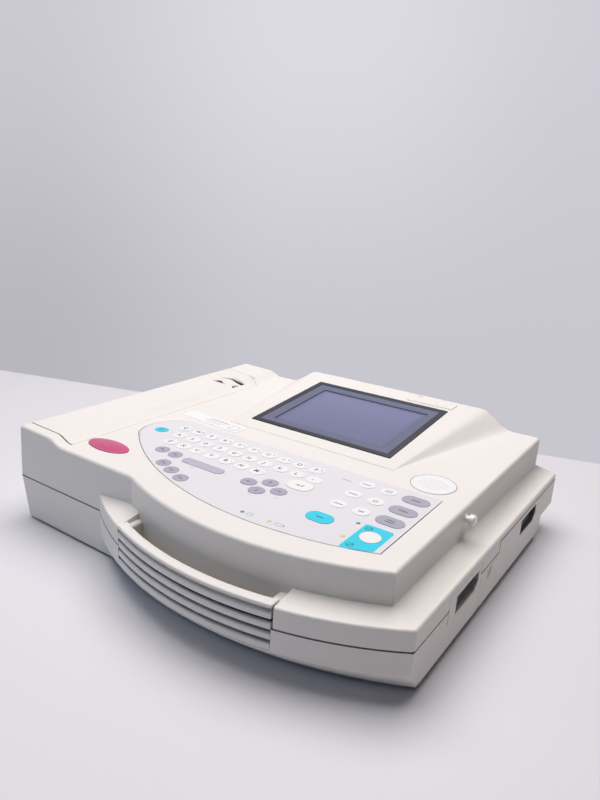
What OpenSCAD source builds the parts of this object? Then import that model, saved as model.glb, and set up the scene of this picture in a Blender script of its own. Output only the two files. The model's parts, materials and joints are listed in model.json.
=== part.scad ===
// Portable A4 electrocardiograph: two-tier case with a keypad deck, a raised display hood,
// a paper writer under a hinged door on the left and a carry grip in the curved front.
// Axes: +X to the operator's right, +Y to the rear, +Z up. The origin lies on the table,
// under the middle of the case. Inside the file, parts are laid out from the flush part of
// the front face (y = 0) and at_front() moves them to their place.

/* [Case] */
// Overall width at the parting line
case_w = 390; // [380:1:404]
// Depth from the flush front face to the rear wall
case_d = 312; // [306:1:324]
// Radius of the curved front
bulge_r = 255; // [250:1:268]
// How far the curved front stands out
bulge_out = 41; // [38:0.5:44]
// Sideways place of the curve's centre
bulge_x = 53; // [48:1:58]
// Thickness of the moulded walls
wall = 2.6; // [2.2:0.1:3]
// Height of the parting line
seam_z = 40; // [39:0.5:42]
// Height of the parting line along the rear half of the right side
rear_seam_z = 49.5; // [48.5:0.5:50.5]
// Inward slope of the lower left wall, in degrees
left_taper = 12; // [8:1:13]
// Inward slope of the upper left wall, in degrees
left_draft = 3.3; // [2:0.1:4]
// Gap between the case mouldings and what is set into them
seam_gap = 0.3; // [0.2:0.05:0.4]

/* [Keel] */
// Height of the crease above the keel chamfer
keel_z = 24; // [23:0.5:25]
// Radius of the keel's front edge
keel_r = 314; // [305:1:325]
// Sideways place of the keel curve's centre
keel_x = 40; // [36:1:44]
// How far the keel's front edge stands out
keel_out = 20; // [17:0.5:23]
// Inset of the keel on the right side
keel_side = 3; // [2:0.5:5]
// Height of the crease above the right-hand keel chamfer
keel_side_z = 9; // [8:0.5:11]
// Depth of the recess under the rear
undercut_d = 35; // [32:0.5:38]
// Height of the recess under the rear
undercut_z = 24; // [22:0.5:25]

/* [Feet] */
// Clearance under the case
foot_h = 2.5; // [2:0.1:3.5]
// Radius of a foot
foot_r = 8; // [6:0.5:9]
// Depth of a foot's seat in the case
foot_seat = 1.2; // [1:0.1:1.5]

/* [Deck] */
// Height of the deck at the front face
deck_z = 81.6; // [80:0.2:84]
// Rise of the deck towards the rear, in degrees
deck_slope = 0.8; // [0.6:0.1:1]
// Step back from the lower tier at the front
step_front = 20.5; // [18:0.5:23]
// Step in from the lower tier on the right
step_side = 20; // [18:0.5:22]
// Height of the lower tier at its outer edge
ledge_z = 55; // [54:0.5:57]
// Rise of the lower tier towards the deck wall
ledge_rise = 3.5; // [2:0.5:5]
// Height of the writer ridge above the deck
ridge_h = 6.4; // [5.5:0.2:7]
// Fall of the ridge top towards the deck
ridge_fall = 1; // [0.5:0.1:1.5]
// Width of the ridge's level top
ridge_w = 42; // [40:1:44]
// Width of the ridge's curved flank
ridge_run = 18; // [16:1:19]

/* [Display hood] */
// Tilt of the display face, in degrees
hood_tilt = 6.4; // [6:0.1:7]
// Height of the display face at its centre
window_z = 92.7; // [92:0.1:94]
// Sideways place of the display centre
window_x = 14; // [12:1:16]
// Rear edge of the case to the window's centre
window_back = 87; // [85:1:89]
// Width of the display frame
window_w = 152; // [148:1:156]
// Depth of the display frame
window_d = 122; // [118:1:124]
// Width of the visible screen
screen_w = 118; // [114:1:122]
// Depth of the visible screen
screen_d = 90; // [86:1:94]
// Clear border between the display frame and the flank of the hood
hood_border = 12; // [10:1:16]
// How much further out the flank lies at the rear, to the left
hood_flare_l = 8; // [6:1:12]
// How much further out the flank lies at the rear, to the right
hood_flare_r = 12; // [6:1:14]
// Width of the flank for each millimetre of hood height
flank_run = 2.1; // [1.8:0.1:2.3]
// Thickness of the display frame
bezel_t = 3; // [2.5:0.1:3.5]
// Thickness of the display window
glass_t = 1.5; // [1.2:0.1:2]
// Width of the display module
lcd_w = 146; // [142:1:150]
// Depth of the display module
lcd_d = 106; // [102:1:110]
// Thickness of the display module
lcd_t = 7; // [6:0.5:8]

/* [Keypad] */
// Radius of the keypad's front edge
pad_r = 259; // [254:1:264]
// Sideways place of the keypad curve's centre
pad_x = 57; // [53:1:60]
// Distance of the keypad's front edge behind the front face
pad_front = 3; // [2:0.5:6]
// Left end of the keypad
pad_left = -123; // [-126:1:-121]
// Right end of the keypad
pad_right = 157; // [155:1:160]
// Distance of the keypad's rear edge in front of the display window
pad_back = 44; // [40:1:46]
// Radius of the keypad's rear left corner
pad_corner = 30; // [26:1:34]
// Thickness of the keypad foil
pad_t = 1; // [0.8:0.1:1.2]
// Pitch of the letter keys in a row
key_pitch = 16.2; // [15.8:0.1:16.6]
// Pitch of the rows
row_pitch = 16.6; // [16:0.1:17.2]
// Width of a letter key
key_w = 13.2; // [12:0.2:13.6]
// Depth of a letter key
key_d = 11.6; // [10:0.2:12.4]
// Width of a large key
big_w = 21.5; // [20:0.5:22.5]
// Depth of a large key
big_d = 13; // [12:0.5:14]
// Travel of a key
key_travel = 0.5; // [0.3:0.1:0.6]
// How far a key stands above the foil
key_rise = 0.3; // [0.2:0.1:0.5]
// Running gap round a key
key_gap = 0.25; // [0.2:0.05:0.3]
// Radius of a key's stem
stem_r = 2; // [1.6:0.1:2.4]
// Thickness of a circuit board
board_t = 1.6; // [1.2:0.1:2]

/* [Carry grip] */
// Left end of the grip
grip_x0 = -31; // [-34:0.5:-28]
// Right end of the grip
grip_x1 = 116; // [112:0.5:119]
// Thickness of the grip bar
grip_t = 8.5; // [7.5:0.5:10]
// Height of the grip's top
grip_z1 = 56.5; // [55.5:0.5:58]
// Thickness of a grip arm
arm_t = 6; // [5:0.5:7]
// Pitch of the finger grooves
groove_pitch = 7.3; // [7:0.1:7.5]
// Height of a finger groove
groove_h = 2.6; // [1.8:0.1:3]
// Depth of a finger groove
groove_d = 4; // [3:0.5:5]
// Count of the finger grooves
groove_n = 4; // [3:1:4]
// Length of the tenon that fixes an arm to the case
tenon_l = 5; // [4:0.5:6]
// Height of the tenon
tenon_h = 10; // [8:1:12]

/* [Paper door] */
// Front seam of the door
door_y0 = 11; // [9:0.5:13]
// Rear edge of the case to the door's rear seam
door_back = 36; // [34:0.5:38]
// How far the rear seam runs forward at its inner end
door_slant = 13; // [11:0.5:15]
// Inner seam of the door, measured from the left wall
door_w = 61; // [60:0.5:62]
// Height of the door's lower edge on the left side
door_z0 = 70; // [69:0.5:71]
// Running gap below the door's lower edge
door_gap = 0.5; // [0.5:0.05:0.7]
// Height of the paper exit below the door
exit_h = 4; // [3:0.5:5]
// Height of the hinge axis below the door's lower edge
hinge_drop = 4; // [4:0.1:4.5]
// Distance of the hinge axis inside the left wall
hinge_in = 2.2; // [2:0.1:2.3]
// Radius of a hinge knuckle
knuckle_r = 2.6; // [2.4:0.1:2.8]
// Radius of the hinge pin
pin_r = 1.25; // [1.1:0.05:1.4]
// Length of a knuckle
knuckle_l = 8; // [7:0.5:9]
// Running clearance of a shaft in its bore
run_fit = 0.05; // [0.03:0.01:0.08]
// Length of the finger scoop
scoop_l = 36; // [32:1:40]
// Width of the finger scoop
scoop_w = 24; // [22:1:26]
// Rear seam of the door to the middle of the scoop
scoop_back = 38; // [35:1:41]
// Radius of the release button
button_r = 3.6; // [3:0.1:4.2]
// Travel of the release button
button_travel = 2; // [1.5:0.1:2.4]

/* [Writer] */
// Space in the well at each end of the roll
roll_margin = 13; // [12:0.5:15]
// Largest radius of a paper roll
roll_r = 22; // [20:0.5:22.5]
// Radius of the platen
platen_r = 7; // [6:0.5:7.5]
// Radius of the platen shaft
shaft_r = 3; // [2.5:0.1:3.2]
// Height of the platen axis
platen_z = 60; // [59:0.5:61]
// Distance of the platen axis from the left wall
platen_in = 23; // [22:0.5:24]
// Thickness of the writer frame's walls
frame_t = 2; // [1.8:0.1:2.4]
// Gear module
gear_m = 0.8; // [0.7:0.05:0.8]
// Teeth on the platen gear
platen_teeth = 32; // [28:4:32]
// Teeth on the idler gear
idler_teeth = 24; // [20:4:24]
// Teeth on the motor pinion
pinion_teeth = 16; // [16:4:20]
// Thickness of the gears
gear_t = 5; // [4:0.5:5.5]
// Direction from the platen to the idler, in degrees
idler_angle = -100; // [-104:1:-98]
// Direction from the idler to the motor, in degrees
motor_angle = 12; // [10:0.5:13]
// Width of the stepper motor
motor_w = 28; // [26:0.5:28.5]
// Length of the stepper motor
motor_l = 22; // [18:1:23]
// Radius of the motor shaft
motor_shaft_r = 2.5; // [2:0.1:2.5]
// Thickness of the printhead
head_t = 3.5; // [3:0.1:4]
// Height of the printhead
head_h = 14; // [12:0.5:15]
// Gap of the printhead to the platen, taken up by the paper
head_gap = 0.3; // [0.2:0.05:0.4]

/* [Sockets] */
// Width of a socket recess
recess_w = 42; // [40:0.5:43]
// Height of a socket recess
recess_h = 14.5; // [13.5:0.5:15]
// Depth of a socket recess
recess_d = 9; // [8:0.5:10]
// Chamfer of a recess's lower rear corner
recess_chamfer = 6; // [5:0.5:7]
// Front edge of the patient connector panel
panel_y0 = 55; // [54:0.5:57]
// Width of the patient connector panel
panel_w = 59; // [57:0.5:60]
// Lower edge of the patient connector panel
panel_z0 = 29.5; // [29:0.5:30]
// Height of the patient connector panel
panel_h = 19.5; // [19:0.5:20]
// Distance of the rear recess behind the front face
signal_y = 231; // [228:1:233]
// Middle height of the rear recess
signal_z = 38; // [37:0.5:39]
// Width of a D-shaped shell
dsub_w = 25; // [23:0.5:27]
// Height of a D-shaped shell
dsub_h = 8.4; // [8:0.2:9]
// Width of the mains inlet's flange
inlet_w = 48; // [46:0.5:50]
// Height of the mains inlet's flange
inlet_h = 24; // [22:0.5:26]
// Width of the mains inlet's opening
inlet_open_w = 24; // [23:0.2:25]
// Height of the mains inlet's opening
inlet_open_h = 16.5; // [16:0.1:17]
// Depth of the mains inlet's opening
inlet_open_d = 18; // [16:0.5:20]

/* [Battery] */
// Width of the battery door
bay_w = 36; // [34:0.5:37]
// Front edge of the battery door
bay_y0 = 115; // [114.5:0.5:116]
// Height of the battery door's upper edge
bay_z1 = 37; // [36:0.5:38]
// Length of the battery pack
pack_l = 70; // [66:1:74]
// Gap round the battery pack
pack_gap = 0.5; // [0.4:0.1:0.8]

/* [Lead stud] */
// Length of the lead stud
stud_l = 8.5; // [8:0.5:11]
// Radius of the stud's head
stud_r = 4.2; // [4:0.2:5]
// Radius of the stud's neck
stud_neck = 2.6; // [2.4:0.1:3.2]

/* [Hidden] */

eps = 0.01;
slab = 0.4;
round_fn = 180;
hull_fn = 160;
shell = "#ece6dc";
hw = case_w / 2;
front_y = -(case_d - bulge_out) / 2;
window_y = case_d - window_back;
door_y1 = case_d - door_back;
door_y2 = door_y1 - door_slant;
scoop_y = door_y1 - scoop_back;
bulge_cy = bulge_r - bulge_out;
keel_cy = keel_r - keel_out;
floor_z = foot_h + wall;
deck_right = hw - step_side;
deck_out = bulge_out - step_front;
deck_tan = tan(deck_slope);
hood_tan = tan(hood_tilt);
// where the display face leaves the deck
hood_y0 = (window_z - window_y * hood_tan - deck_z) / (deck_tan - hood_tan);
door_x1 = -hw + door_w;
tall = 200;

function deck_at(y) = deck_z + y * deck_tan;
function hood_at(y) = window_z + (y - window_y) * hood_tan;
// left wall's outer face at a height above the parting line
function left_at(z) = -hw + (z - seam_z) * tan(left_draft);
// smooth step from 0 to 1
function ease(t) = (1 - cos(180 * t)) / 2;

module at_front() translate([0, front_y, 0]) children();
module on_deck() translate([0, 0, deck_z]) rotate([deck_slope, 0, 0]) children();
module on_window() translate([window_x, window_y, window_z]) rotate([hood_tilt, 0, 0]) children();
// turns a flat XZ drawing into a plate from y to y + t
module along_y(y, t) translate([0, y + t, 0]) rotate([90, 0, 0]) linear_extrude(t) children();
// turns a flat YZ drawing into a plate from x to x + t
module along_x(x, t) translate([x, 0, 0]) rotate([90, 0, 90]) linear_extrude(t) children();
module oval2d(w, d) {
    if (w > d) {
        for (s = [-1, 1]) translate([s * (w - d) / 2, 0]) circle(d = d, $fn = 48);
        square([w - d, d], center = true);
    }
    if (w <= d) circle(d = w, $fn = 64);
}
module frame2d(w, d, t) difference() {
    square([w, d], center = true);
    square([w - 2 * t, d - 2 * t], center = true);
}

// ---- plan outlines of the case ----
module bulge2d(right, out, i, fn = round_fn) intersection() {
    translate([bulge_x, bulge_r - out]) circle(r = bulge_r - i, $fn = fn);
    translate([-hw + i, -out]) square([hw + right - 2 * i, case_d + out - i]);
}
module plan2d(right, out, i) {
    translate([-hw + i, i]) square([hw + bulge_x - i, case_d - 2 * i]);
    bulge2d(right, out, i);
}
module keel2d(i) intersection() {
    translate([keel_x, keel_cy]) circle(r = keel_r - i, $fn = hull_fn);
    translate([-hw / 2, -keel_out]) square([hw * 1.5 - keel_side - i, case_d + keel_out - i]);
}
// finger pocket behind the grip, grown by g for its lining
module pocket2d(g) difference() {
    translate([grip_x0 - g, -bulge_out - wall]) square([grip_x1 - grip_x0 + 2 * g, bulge_out + wall]);
    plan2d(deck_right, deck_out, g);
}

// ---- solids of the two tiers, inset by i ----
module lower_solid(i, top) difference() {
    union() {
        translate([0, 0, keel_z]) linear_extrude(top - keel_z) plan2d(hw, bulge_out, i);
        translate([-hw + i, i, foot_h + i])
            cube([hw + bulge_x - i, case_d - 2 * i, keel_z - foot_h - i + eps]);
        hull() {
            translate([0, 0, keel_z - slab]) linear_extrude(slab + eps) bulge2d(hw, bulge_out, i, hull_fn);
            translate([0, 0, foot_h + i]) linear_extrude(slab) keel2d(i);
            translate([hw - wall, keel_out, keel_side_z]) cube([wall - i, case_d - keel_out - i, slab]);
        }
    }
    translate([-hw + i, -tall, seam_z]) rotate([0, -left_taper, 0])
        translate([-tall, 0, -tall]) cube([tall, 4 * tall, tall]);
    translate([-case_w, case_d - undercut_d - i, -1])
        cube([2 * case_w, undercut_d + 2 * wall, undercut_z + i + 1]);
}
module deck_solid(i) translate([0, 0, -i]) on_deck() along_y(-tall, case_d + 2 * tall)
    polygon(concat(
        [[case_w, -deck_z], [case_w, 0]],
        [for (k = [0:8]) [-hw + ridge_w + ridge_run * (1 - k / 8), (ridge_h - ridge_fall) * ease(k / 8)]],
        [[-hw, ridge_h], [-case_w, ridge_h], [-case_w, -deck_z]]
    ));
// outline of the hood at a distance y, from its left foot to its right foot
function hood_row(y, i, n) = let (
        h = hood_at(y) - deck_at(y),
        f = (y - hood_y0) / (case_d - hood_y0),
        xl = window_x - window_w / 2 - hood_border - hood_flare_l * f + i,
        xr = window_x + window_w / 2 + hood_border + hood_flare_r * f - i
    ) concat(
        [[xl - flank_run * h, y, deck_at(y) - i - wall]],
        [for (k = [0:n]) [xl - flank_run * h * (1 - k / n), y, deck_at(y) - i + h * ease(k / n)]],
        [for (k = [0:n]) [xr + flank_run * h * k / n, y, deck_at(y) - i + h * (1 - ease(k / n))]],
        [[xr + flank_run * h, y, deck_at(y) - i - wall]]
    );
module hood_solid(i, n = 8) {
    m = 2 * n + 4;
    front = hood_row(hood_y0 + wall, i, n);
    rear = hood_row(case_d + 2 * wall, i, n);
    polyhedron(
        concat(front, rear),
        concat(
            [[for (k = [0:m - 1]) k]],
            [[for (k = [m - 1:-1:0]) m + k]],
            [for (k = [0:m - 1]) [k, m + k, (k + 1) % m]],
            [for (k = [0:m - 1]) [(k + 1) % m, m + k, m + (k + 1) % m]]
        )
    );
}
module upper_solid(i, base) difference() {
    union() {
        hull() {
            translate([0, 0, base]) linear_extrude(ledge_z - i - base) bulge2d(hw, bulge_out, i, hull_fn);
            translate([0, 0, ledge_z + ledge_rise - i - slab]) linear_extrude(slab)
                bulge2d(deck_right, deck_out, i, hull_fn);
        }
        intersection() {
            translate([0, 0, base]) linear_extrude(tall) plan2d(deck_right, deck_out, i);
            union() {
                deck_solid(i);
                hood_solid(i);
            }
        }
    }
    translate([-hw + i, -tall, seam_z]) rotate([0, left_draft, 0])
        translate([-tall, 0, 0]) cube([tall, 4 * tall, tall]);
}

// ---- places shared by several parts ----
foot_at = [[-158, 26], [-158, case_d - undercut_d - 22], [142, 52], [hw - 42, case_d - undercut_d - 22]];
screw_r = 2;
boss_r = 5.6;
pilot_r = 1.6;
screw_head_r = 3.6;
screw_head_h = 2.6;
screw_sink = 4;
post_h = 18;
// x, y and the height of the outer face round the screw
screw_at = [
    [-hw + 26, 9, foot_h], [hw - 30, 26, foot_h],
    [-hw + 20, case_d - 12, undercut_z], [hw - 30, case_d - 12, undercut_z],
];
board_z = 60;
board_posts = [[-98, 134], [148, 134], [-98, case_d - 62], [148, case_d - 62]];
board_hole = 1.3;
badge_t = 0.6;
badge_w = 46;
badge_d = 22;
badge_x = door_x1 + badge_w / 2 + 2.4;
badge_y = 29.2;
label_w = 74;
label_d = 17;
label_turn = -4;
label_x = door_x1 + label_w / 2 + 11;
label_y = window_y - window_d / 2 - 28;
seal_r = 18.5;
seal_x = deck_right - 35.4;
seal_y = label_y + 6.6;
name_w = 50;
name_d = 13;
pad_gap = 0.25;
stud_y = 121;
stud_z = 75;
inlet_x = -85;
inlet_z = 56;
rim_t = 2;
glass_lip = 4;
bay_x1 = hw - wall - keel_side;
supply_z = 12;
supply_y = case_d - 112;
cable_y = window_y - 44;
core_y = case_d - 110;
bay_pin_r = 0.9;
bay_pin_l = 1.8;
bay_pin_x = hw - 3;
bay_pin_z = foot_h + 5.5;
// the key places are drawn for a keypad this deep
row_grid = 120;
pad_rear = window_y - window_d / 2 - pad_back;
pad_share = pad_rear / row_grid;
// name, x, y, width and depth of each key that moves
moving_keys = [for (k = [
    ["power_key", -105, 87, 13, 10.5], ["start_key", 142, 37, 14.8, 14.8],
    ["copy_key", 101, 39, 21, 14], ["mode_key_a", 142, 106, big_w, big_d],
    ["mode_key_b", 142, 85, big_w, big_d], ["mode_key_c", 142, 65, big_w, big_d],
    ["enter_key", 61, 72, 22, 16], ["space_key", -20, 51, 43, 9.5],
    ["arrow_left", 27, 52, key_w, key_d], ["arrow_up", 41, 61, key_w, key_d],
    ["arrow_down", 41, 44, key_w, key_d], ["arrow_right", 55, 53, key_w, key_d],
]) [k[0], k[1], k[2] * pad_share, k[3], k[4]]];
light_at = [for (p = [[55, 11], [78, 12], [126, 49], [127, 27]]) [p[0], p[1] * pad_share]];
light_r = 1.6;
letter_rows = [[-90.5, 104, 10], [-82, 104 - row_pitch, 10], [-77, 104 - 2 * row_pitch, 7]];
grip_z0 = keel_z + seam_gap;
recess_y = panel_y0 + 33;
recess_z = panel_z0 + 8.5;
hinge_x = left_at(door_z0) + hinge_in;
hinge_z = door_z0 - hinge_drop;
// writer: the frame stands on the floor, the platen hangs from the door
well_y0 = door_y0 + 9;
well_y1 = door_y2 - 1;
well_x1 = door_x1 + 4;
platen_x = -hw + platen_in;
well_x0 = platen_x - 10;
well_left = platen_x - 18.5;
well_z0 = floor_z;
well_z1 = platen_z - 12;
paper_l = well_y1 - well_y0 - 2 * roll_margin;
paper_y0 = well_y0 + roll_margin;
roll_x = (well_x0 + well_x1) / 2;
roll_z = well_z0 + frame_t + roll_r + 1.5;
hinge_ys = [door_y0 + 4, door_y1 - 3 * knuckle_l];
gear_y = well_y1 + 1;
bracket_y = gear_y + gear_t + 1;
gear_c1 = gear_m * (platen_teeth + idler_teeth) / 2;
gear_c2 = gear_m * (idler_teeth + pinion_teeth) / 2;
idler_x = platen_x + gear_c1 * cos(idler_angle);
idler_z = platen_z + gear_c1 * sin(idler_angle);
motor_x = idler_x + gear_c2 * cos(motor_angle);
motor_z = idler_z + gear_c2 * sin(motor_angle);
idler_phase = idler_angle + 180 + 180 / idler_teeth;
pinion_phase = motor_angle + 180 + (motor_angle - idler_phase) * idler_teeth / pinion_teeth
    + 180 / pinion_teeth;
head_x = platen_x - platen_r - head_gap;
head_z0 = platen_z - head_h * 0.6;
shelf_z = well_z1 + frame_t;
bush_r = 5;
cheek_t = 3;
cheek_ys = [paper_y0 - 7, paper_y0 + paper_l + 4];
idler_pin_r = 2.5;
swing_r = door_z0 - hinge_z - 0.3;
// scoop and release button
scoop_x1 = door_x1 - 8;
scoop_x0 = scoop_x1 - scoop_l + 6;
scoop_z = deck_at(scoop_y) + ridge_h - ridge_fall / 2;
scoop_fall = 8;
button_x = scoop_x1 - button_r - 1.2;
button_y = scoop_y + 1;
button_z = scoop_z - scoop_fall * (button_x - scoop_x0) / (scoop_x1 - scoop_x0);

function door_pts(g) = [
    [-case_w, door_y0 - g], [door_x1 + g, door_y0 - g], [door_x1 + g, door_y2 + g],
    [door_x1 - ridge_run + g, (door_y1 + door_y2) / 2 + 2 + g],
    [-hw + 8, door_y1 + g], [-case_w, door_y1 + g],
];
module door_space(g, z0) translate([0, 0, z0]) linear_extrude(tall) polygon(door_pts(g));
module knuckle(y, l) translate([hinge_x, y + l, hinge_z]) rotate([90, 0, 0])
    cylinder(r = knuckle_r, h = l, $fn = 40);
module pin_bore(y, l, r) translate([hinge_x, y + l, hinge_z]) rotate([90, 0, 0])
    cylinder(r = r, h = l, $fn = 32);

// ---- case ----
module recess2d(w, h, c) translate([-w / 2, -h / 2])
    polygon([[0, 0], [w - c, 0], [w, c], [w, h], [0, h]]);
module panel2d(g) translate([panel_y0 - g, panel_z0 - g]) square([panel_w + 2 * g, panel_h + 2 * g]);
module bay2d(g) translate([bay_y0 - g, floor_z - g]) square([bay_w + 2 * g, bay_z1 - floor_z + 2 * g]);
module bosses(z0, z1, r) for (p = screw_at) translate([p[0], p[1], max(z0, p[2])])
    cylinder(r = r, h = z1 - max(z0, p[2]), $fn = 40);
module boss_rib(p, y0, y1) translate([p[0] - 1, y0, seam_z]) cube([2, y1 - y0, post_h]);

module lower_housing() color(shell) at_front() difference() {
    union() {
        difference() {
            lower_solid(0, seam_z);
            lower_solid(wall, seam_z + 1);
        }
        // finger pocket lining
        intersection() {
            translate([0, 0, keel_z - wall]) linear_extrude(seam_z - keel_z + wall) pocket2d(wall);
            lower_solid(0, seam_z);
        }
        // raised wall along the rear half of the right side
        intersection() {
            translate([hw - wall, bay_y0 + bay_w + wall, 0])
                cube([wall, case_d, rear_seam_z]);
            translate([0, 0, keel_z]) linear_extrude(tall) plan2d(hw, bulge_out, 0);
        }
        // battery bay
        intersection() {
            along_x(hw - pack_l - 2 * wall - 2 * pack_gap, pack_l + wall + 2 * pack_gap) difference() {
                bay2d(wall);
                bay2d(0);
            }
            lower_solid(wall / 2, seam_z);
        }
        // rear socket pocket
        along_x(hw - wall - recess_d, recess_d + wall / 2) translate([signal_y, signal_z])
            recess2d(recess_w + 2 * frame_t, recess_h + 2 * frame_t, recess_chamfer);
        intersection() {
            bosses(foot_h, seam_z, boss_r);
            lower_solid(wall / 2, seam_z);
        }
    }
    translate([0, 0, keel_z]) linear_extrude(tall) pocket2d(0);
    along_x(hw - 2 * wall, tall) panel2d(seam_gap);
    along_x(bay_x1, tall) bay2d(0);
    translate([bay_pin_x, bay_y0 - bay_pin_l - seam_gap, bay_pin_z]) rotate([-90, 0, 0])
        cylinder(r = bay_pin_r + run_fit, h = bay_w + 2 * bay_pin_l + 2 * seam_gap, $fn = 24);
    along_x(hw - recess_d, tall) translate([signal_y, signal_z]) recess2d(recess_w, recess_h, recess_chamfer);
    along_x(hw - wall - recess_d - 1, tall) translate([signal_y, signal_z])
        square([dsub_w, dsub_h], center = true);
    for (p = screw_at) translate([p[0], p[1], -1]) {
        cylinder(r = screw_r + 0.3, h = tall, $fn = 40);
        cylinder(r = screw_head_r + 0.3, h = p[2] + screw_sink + 1, $fn = 40);
    }
    for (p = foot_at) translate([p[0], p[1], foot_h - 1])
        cylinder(r = foot_r + 0.1, h = foot_seat + 1, $fn = 48);
    grip_tenons(0.2);
}

module upper_housing() color(shell) at_front() difference() {
    union() {
        difference() {
            upper_solid(0, seam_z);
            upper_solid(wall, seam_z - 1);
        }
        intersection() {
            translate([0, 0, seam_z]) linear_extrude(ledge_z + ledge_rise + 1 - seam_z) pocket2d(wall);
            upper_solid(0, seam_z);
        }
        // screw posts
        difference() {
            intersection() {
                union() {
                    bosses(seam_z, seam_z + post_h, boss_r);
                    for (p = screw_at) if (p[1] < case_d / 2) boss_rib(p, -bulge_out, p[1]);
                    for (p = screw_at) if (p[1] > case_d / 2) boss_rib(p, p[1], case_d);
                }
                upper_solid(wall / 2, seam_z);
            }
            for (p = screw_at) translate([p[0], p[1], seam_z - 1])
                cylinder(r = pilot_r, h = post_h - 1, $fn = 32);
        }
        // hanging posts of the main board
        for (p = board_posts) difference() {
            translate([p[0], p[1], board_z + board_t])
                cylinder(r = 3.5, h = deck_at(p[1]) - board_z - wall, $fn = 32);
            translate([p[0], p[1], board_z]) cylinder(r = board_hole, h = 12, $fn = 24);
        }
        // rim that carries the display frame
        on_window() translate([0, 0, -bezel_t - rim_t]) linear_extrude(rim_t + bezel_t - wall / 2)
            square([window_w + 2 * wall, window_d + 2 * wall], center = true);
        // hinge knuckles
        for (y = hinge_ys) intersection() {
            union() {
                knuckle(y, knuckle_l);
                translate([left_at(hinge_z) + wall / 2, y, hinge_z - 2]) cube([wall, knuckle_l, 4]);
            }
            translate([-case_w, 0, 0]) cube([case_w, case_d, door_z0 - door_gap]);
        }
    }
    translate([0, 0, keel_z]) linear_extrude(tall) pocket2d(0);
    door_space(seam_gap, door_z0 - door_gap);
    // paper exit below the door
    translate([-case_w, paper_y0, door_z0 - exit_h]) cube([case_w - hw + 12, paper_l, exit_h + 1]);
    for (y = hinge_ys) {
        translate([-case_w, y + knuckle_l, hinge_z - knuckle_r - 0.6])
            cube([case_w + hinge_x + knuckle_r + 0.6, knuckle_l + 0.6, 2 * knuckle_r + 4]);
        pin_bore(y - 1, knuckle_l + 2, pin_r);
    }
    // room for the door's lower edge as it swings
    translate([0, door_y0 - seam_gap, 0]) intersection() {
        along_y(0, door_y1 - door_y0 + 2 * seam_gap) translate([hinge_x, hinge_z]) difference() {
            circle(r = 3 * swing_r, $fn = 64);
            circle(r = swing_r, $fn = 64);
        }
        translate([hinge_x - tall, 0, hinge_z + swing_r / 2]) cube([tall, case_d, tall]);
    }
    // raised lower wall and connector panel
    translate([hw - wall - seam_gap, bay_y0 + bay_w + wall - seam_gap, 0])
        cube([2 * wall, case_d, rear_seam_z + seam_gap]);
    along_x(hw - 2 * wall, tall) panel2d(seam_gap);
    // display, keypad, badge, nameplate and labels
    on_window() {
        translate([-window_w / 2, -window_d / 2, -bezel_t]) cube([window_w, window_d, tall]);
        translate([-lcd_w / 2 - 1, -lcd_d / 2 - 1, -2 * tall + 1]) cube([lcd_w + 2, lcd_d + 2, 2 * tall]);
    }
    on_deck() {
        translate([0, 0, -pad_t]) linear_extrude(tall) pad2d(0);
        for (k = moving_keys) translate([k[1], k[2], -tall / 10])
            cylinder(r = stem_r + 0.3, h = tall, $fn = 32);
        translate([0, 0, -badge_t]) linear_extrude(tall) badge2d(0);
    }
    on_window() translate([0, 0, -badge_t]) linear_extrude(tall) name2d(0);
    // stud seat and mains inlet opening
    translate([deck_right - wall - 1, stud_y, stud_z]) rotate([0, 90, 0])
        cylinder(r = stud_neck + 0.1, h = wall + 2, $fn = 32);
    along_y(case_d - wall - 1, wall + 2) translate([inlet_x, inlet_z])
        square([inlet_open_w + 3, inlet_open_h + 3], center = true);
    grip_tenons(0.2);
}
module rubber_feet() color("#2b2b2b") at_front() for (p = foot_at) translate([p[0], p[1], 0]) {
    cylinder(r = foot_r - 0.6, h = 0.8, $fn = 48);
    translate([0, 0, 0.8]) cylinder(r = foot_r, h = foot_h + foot_seat - 0.8, $fn = 48);
}
module housing_screws() color("silver") at_front() for (p = screw_at)
    translate([p[0], p[1], p[2] + screw_sink]) difference() {
        union() {
            translate([0, 0, -screw_head_h]) cylinder(r = screw_head_r, h = screw_head_h, $fn = 32);
            cylinder(r = pilot_r - 0.02, h = seam_z + post_h - 6 - p[2] - screw_sink, $fn = 32);
        }
        translate([0, 0, -screw_head_h - 1]) cylinder(r = 1.4, h = 2.6, $fn = 6);
    }

// ---- carry grip ----
module grip_ring(r0, r1, g) intersection() {
    translate([bulge_x, bulge_cy]) difference() {
        circle(r = r1, $fn = round_fn);
        circle(r = r0, $fn = round_fn);
    }
    translate([grip_x0 + g, -bulge_out - 5]) square([grip_x1 - grip_x0 - 2 * g, bulge_out + 2]);
}
module grip_arm2d(x, t, g) intersection() {
    translate([x, -bulge_out]) square([t, bulge_out + 5]);
    difference() {
        translate([bulge_x, bulge_cy]) circle(r = bulge_r - grip_t / 2, $fn = round_fn);
        plan2d(deck_right, deck_out, -g);
    }
}
function arm_y(x) = bulge_cy + step_front - sqrt(bulge_r * bulge_r - (x - bulge_x) * (x - bulge_x));
module grip_tenons(g) for (x = [grip_x0 + seam_gap, grip_x1 - seam_gap - arm_t])
    translate([x + 1 - g, arm_y(x) - 6, seam_z - tenon_h / 2 - g])
        cube([arm_t - 2 + 2 * g, 6 + wall + tenon_l, tenon_h + 2 * g]);
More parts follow.
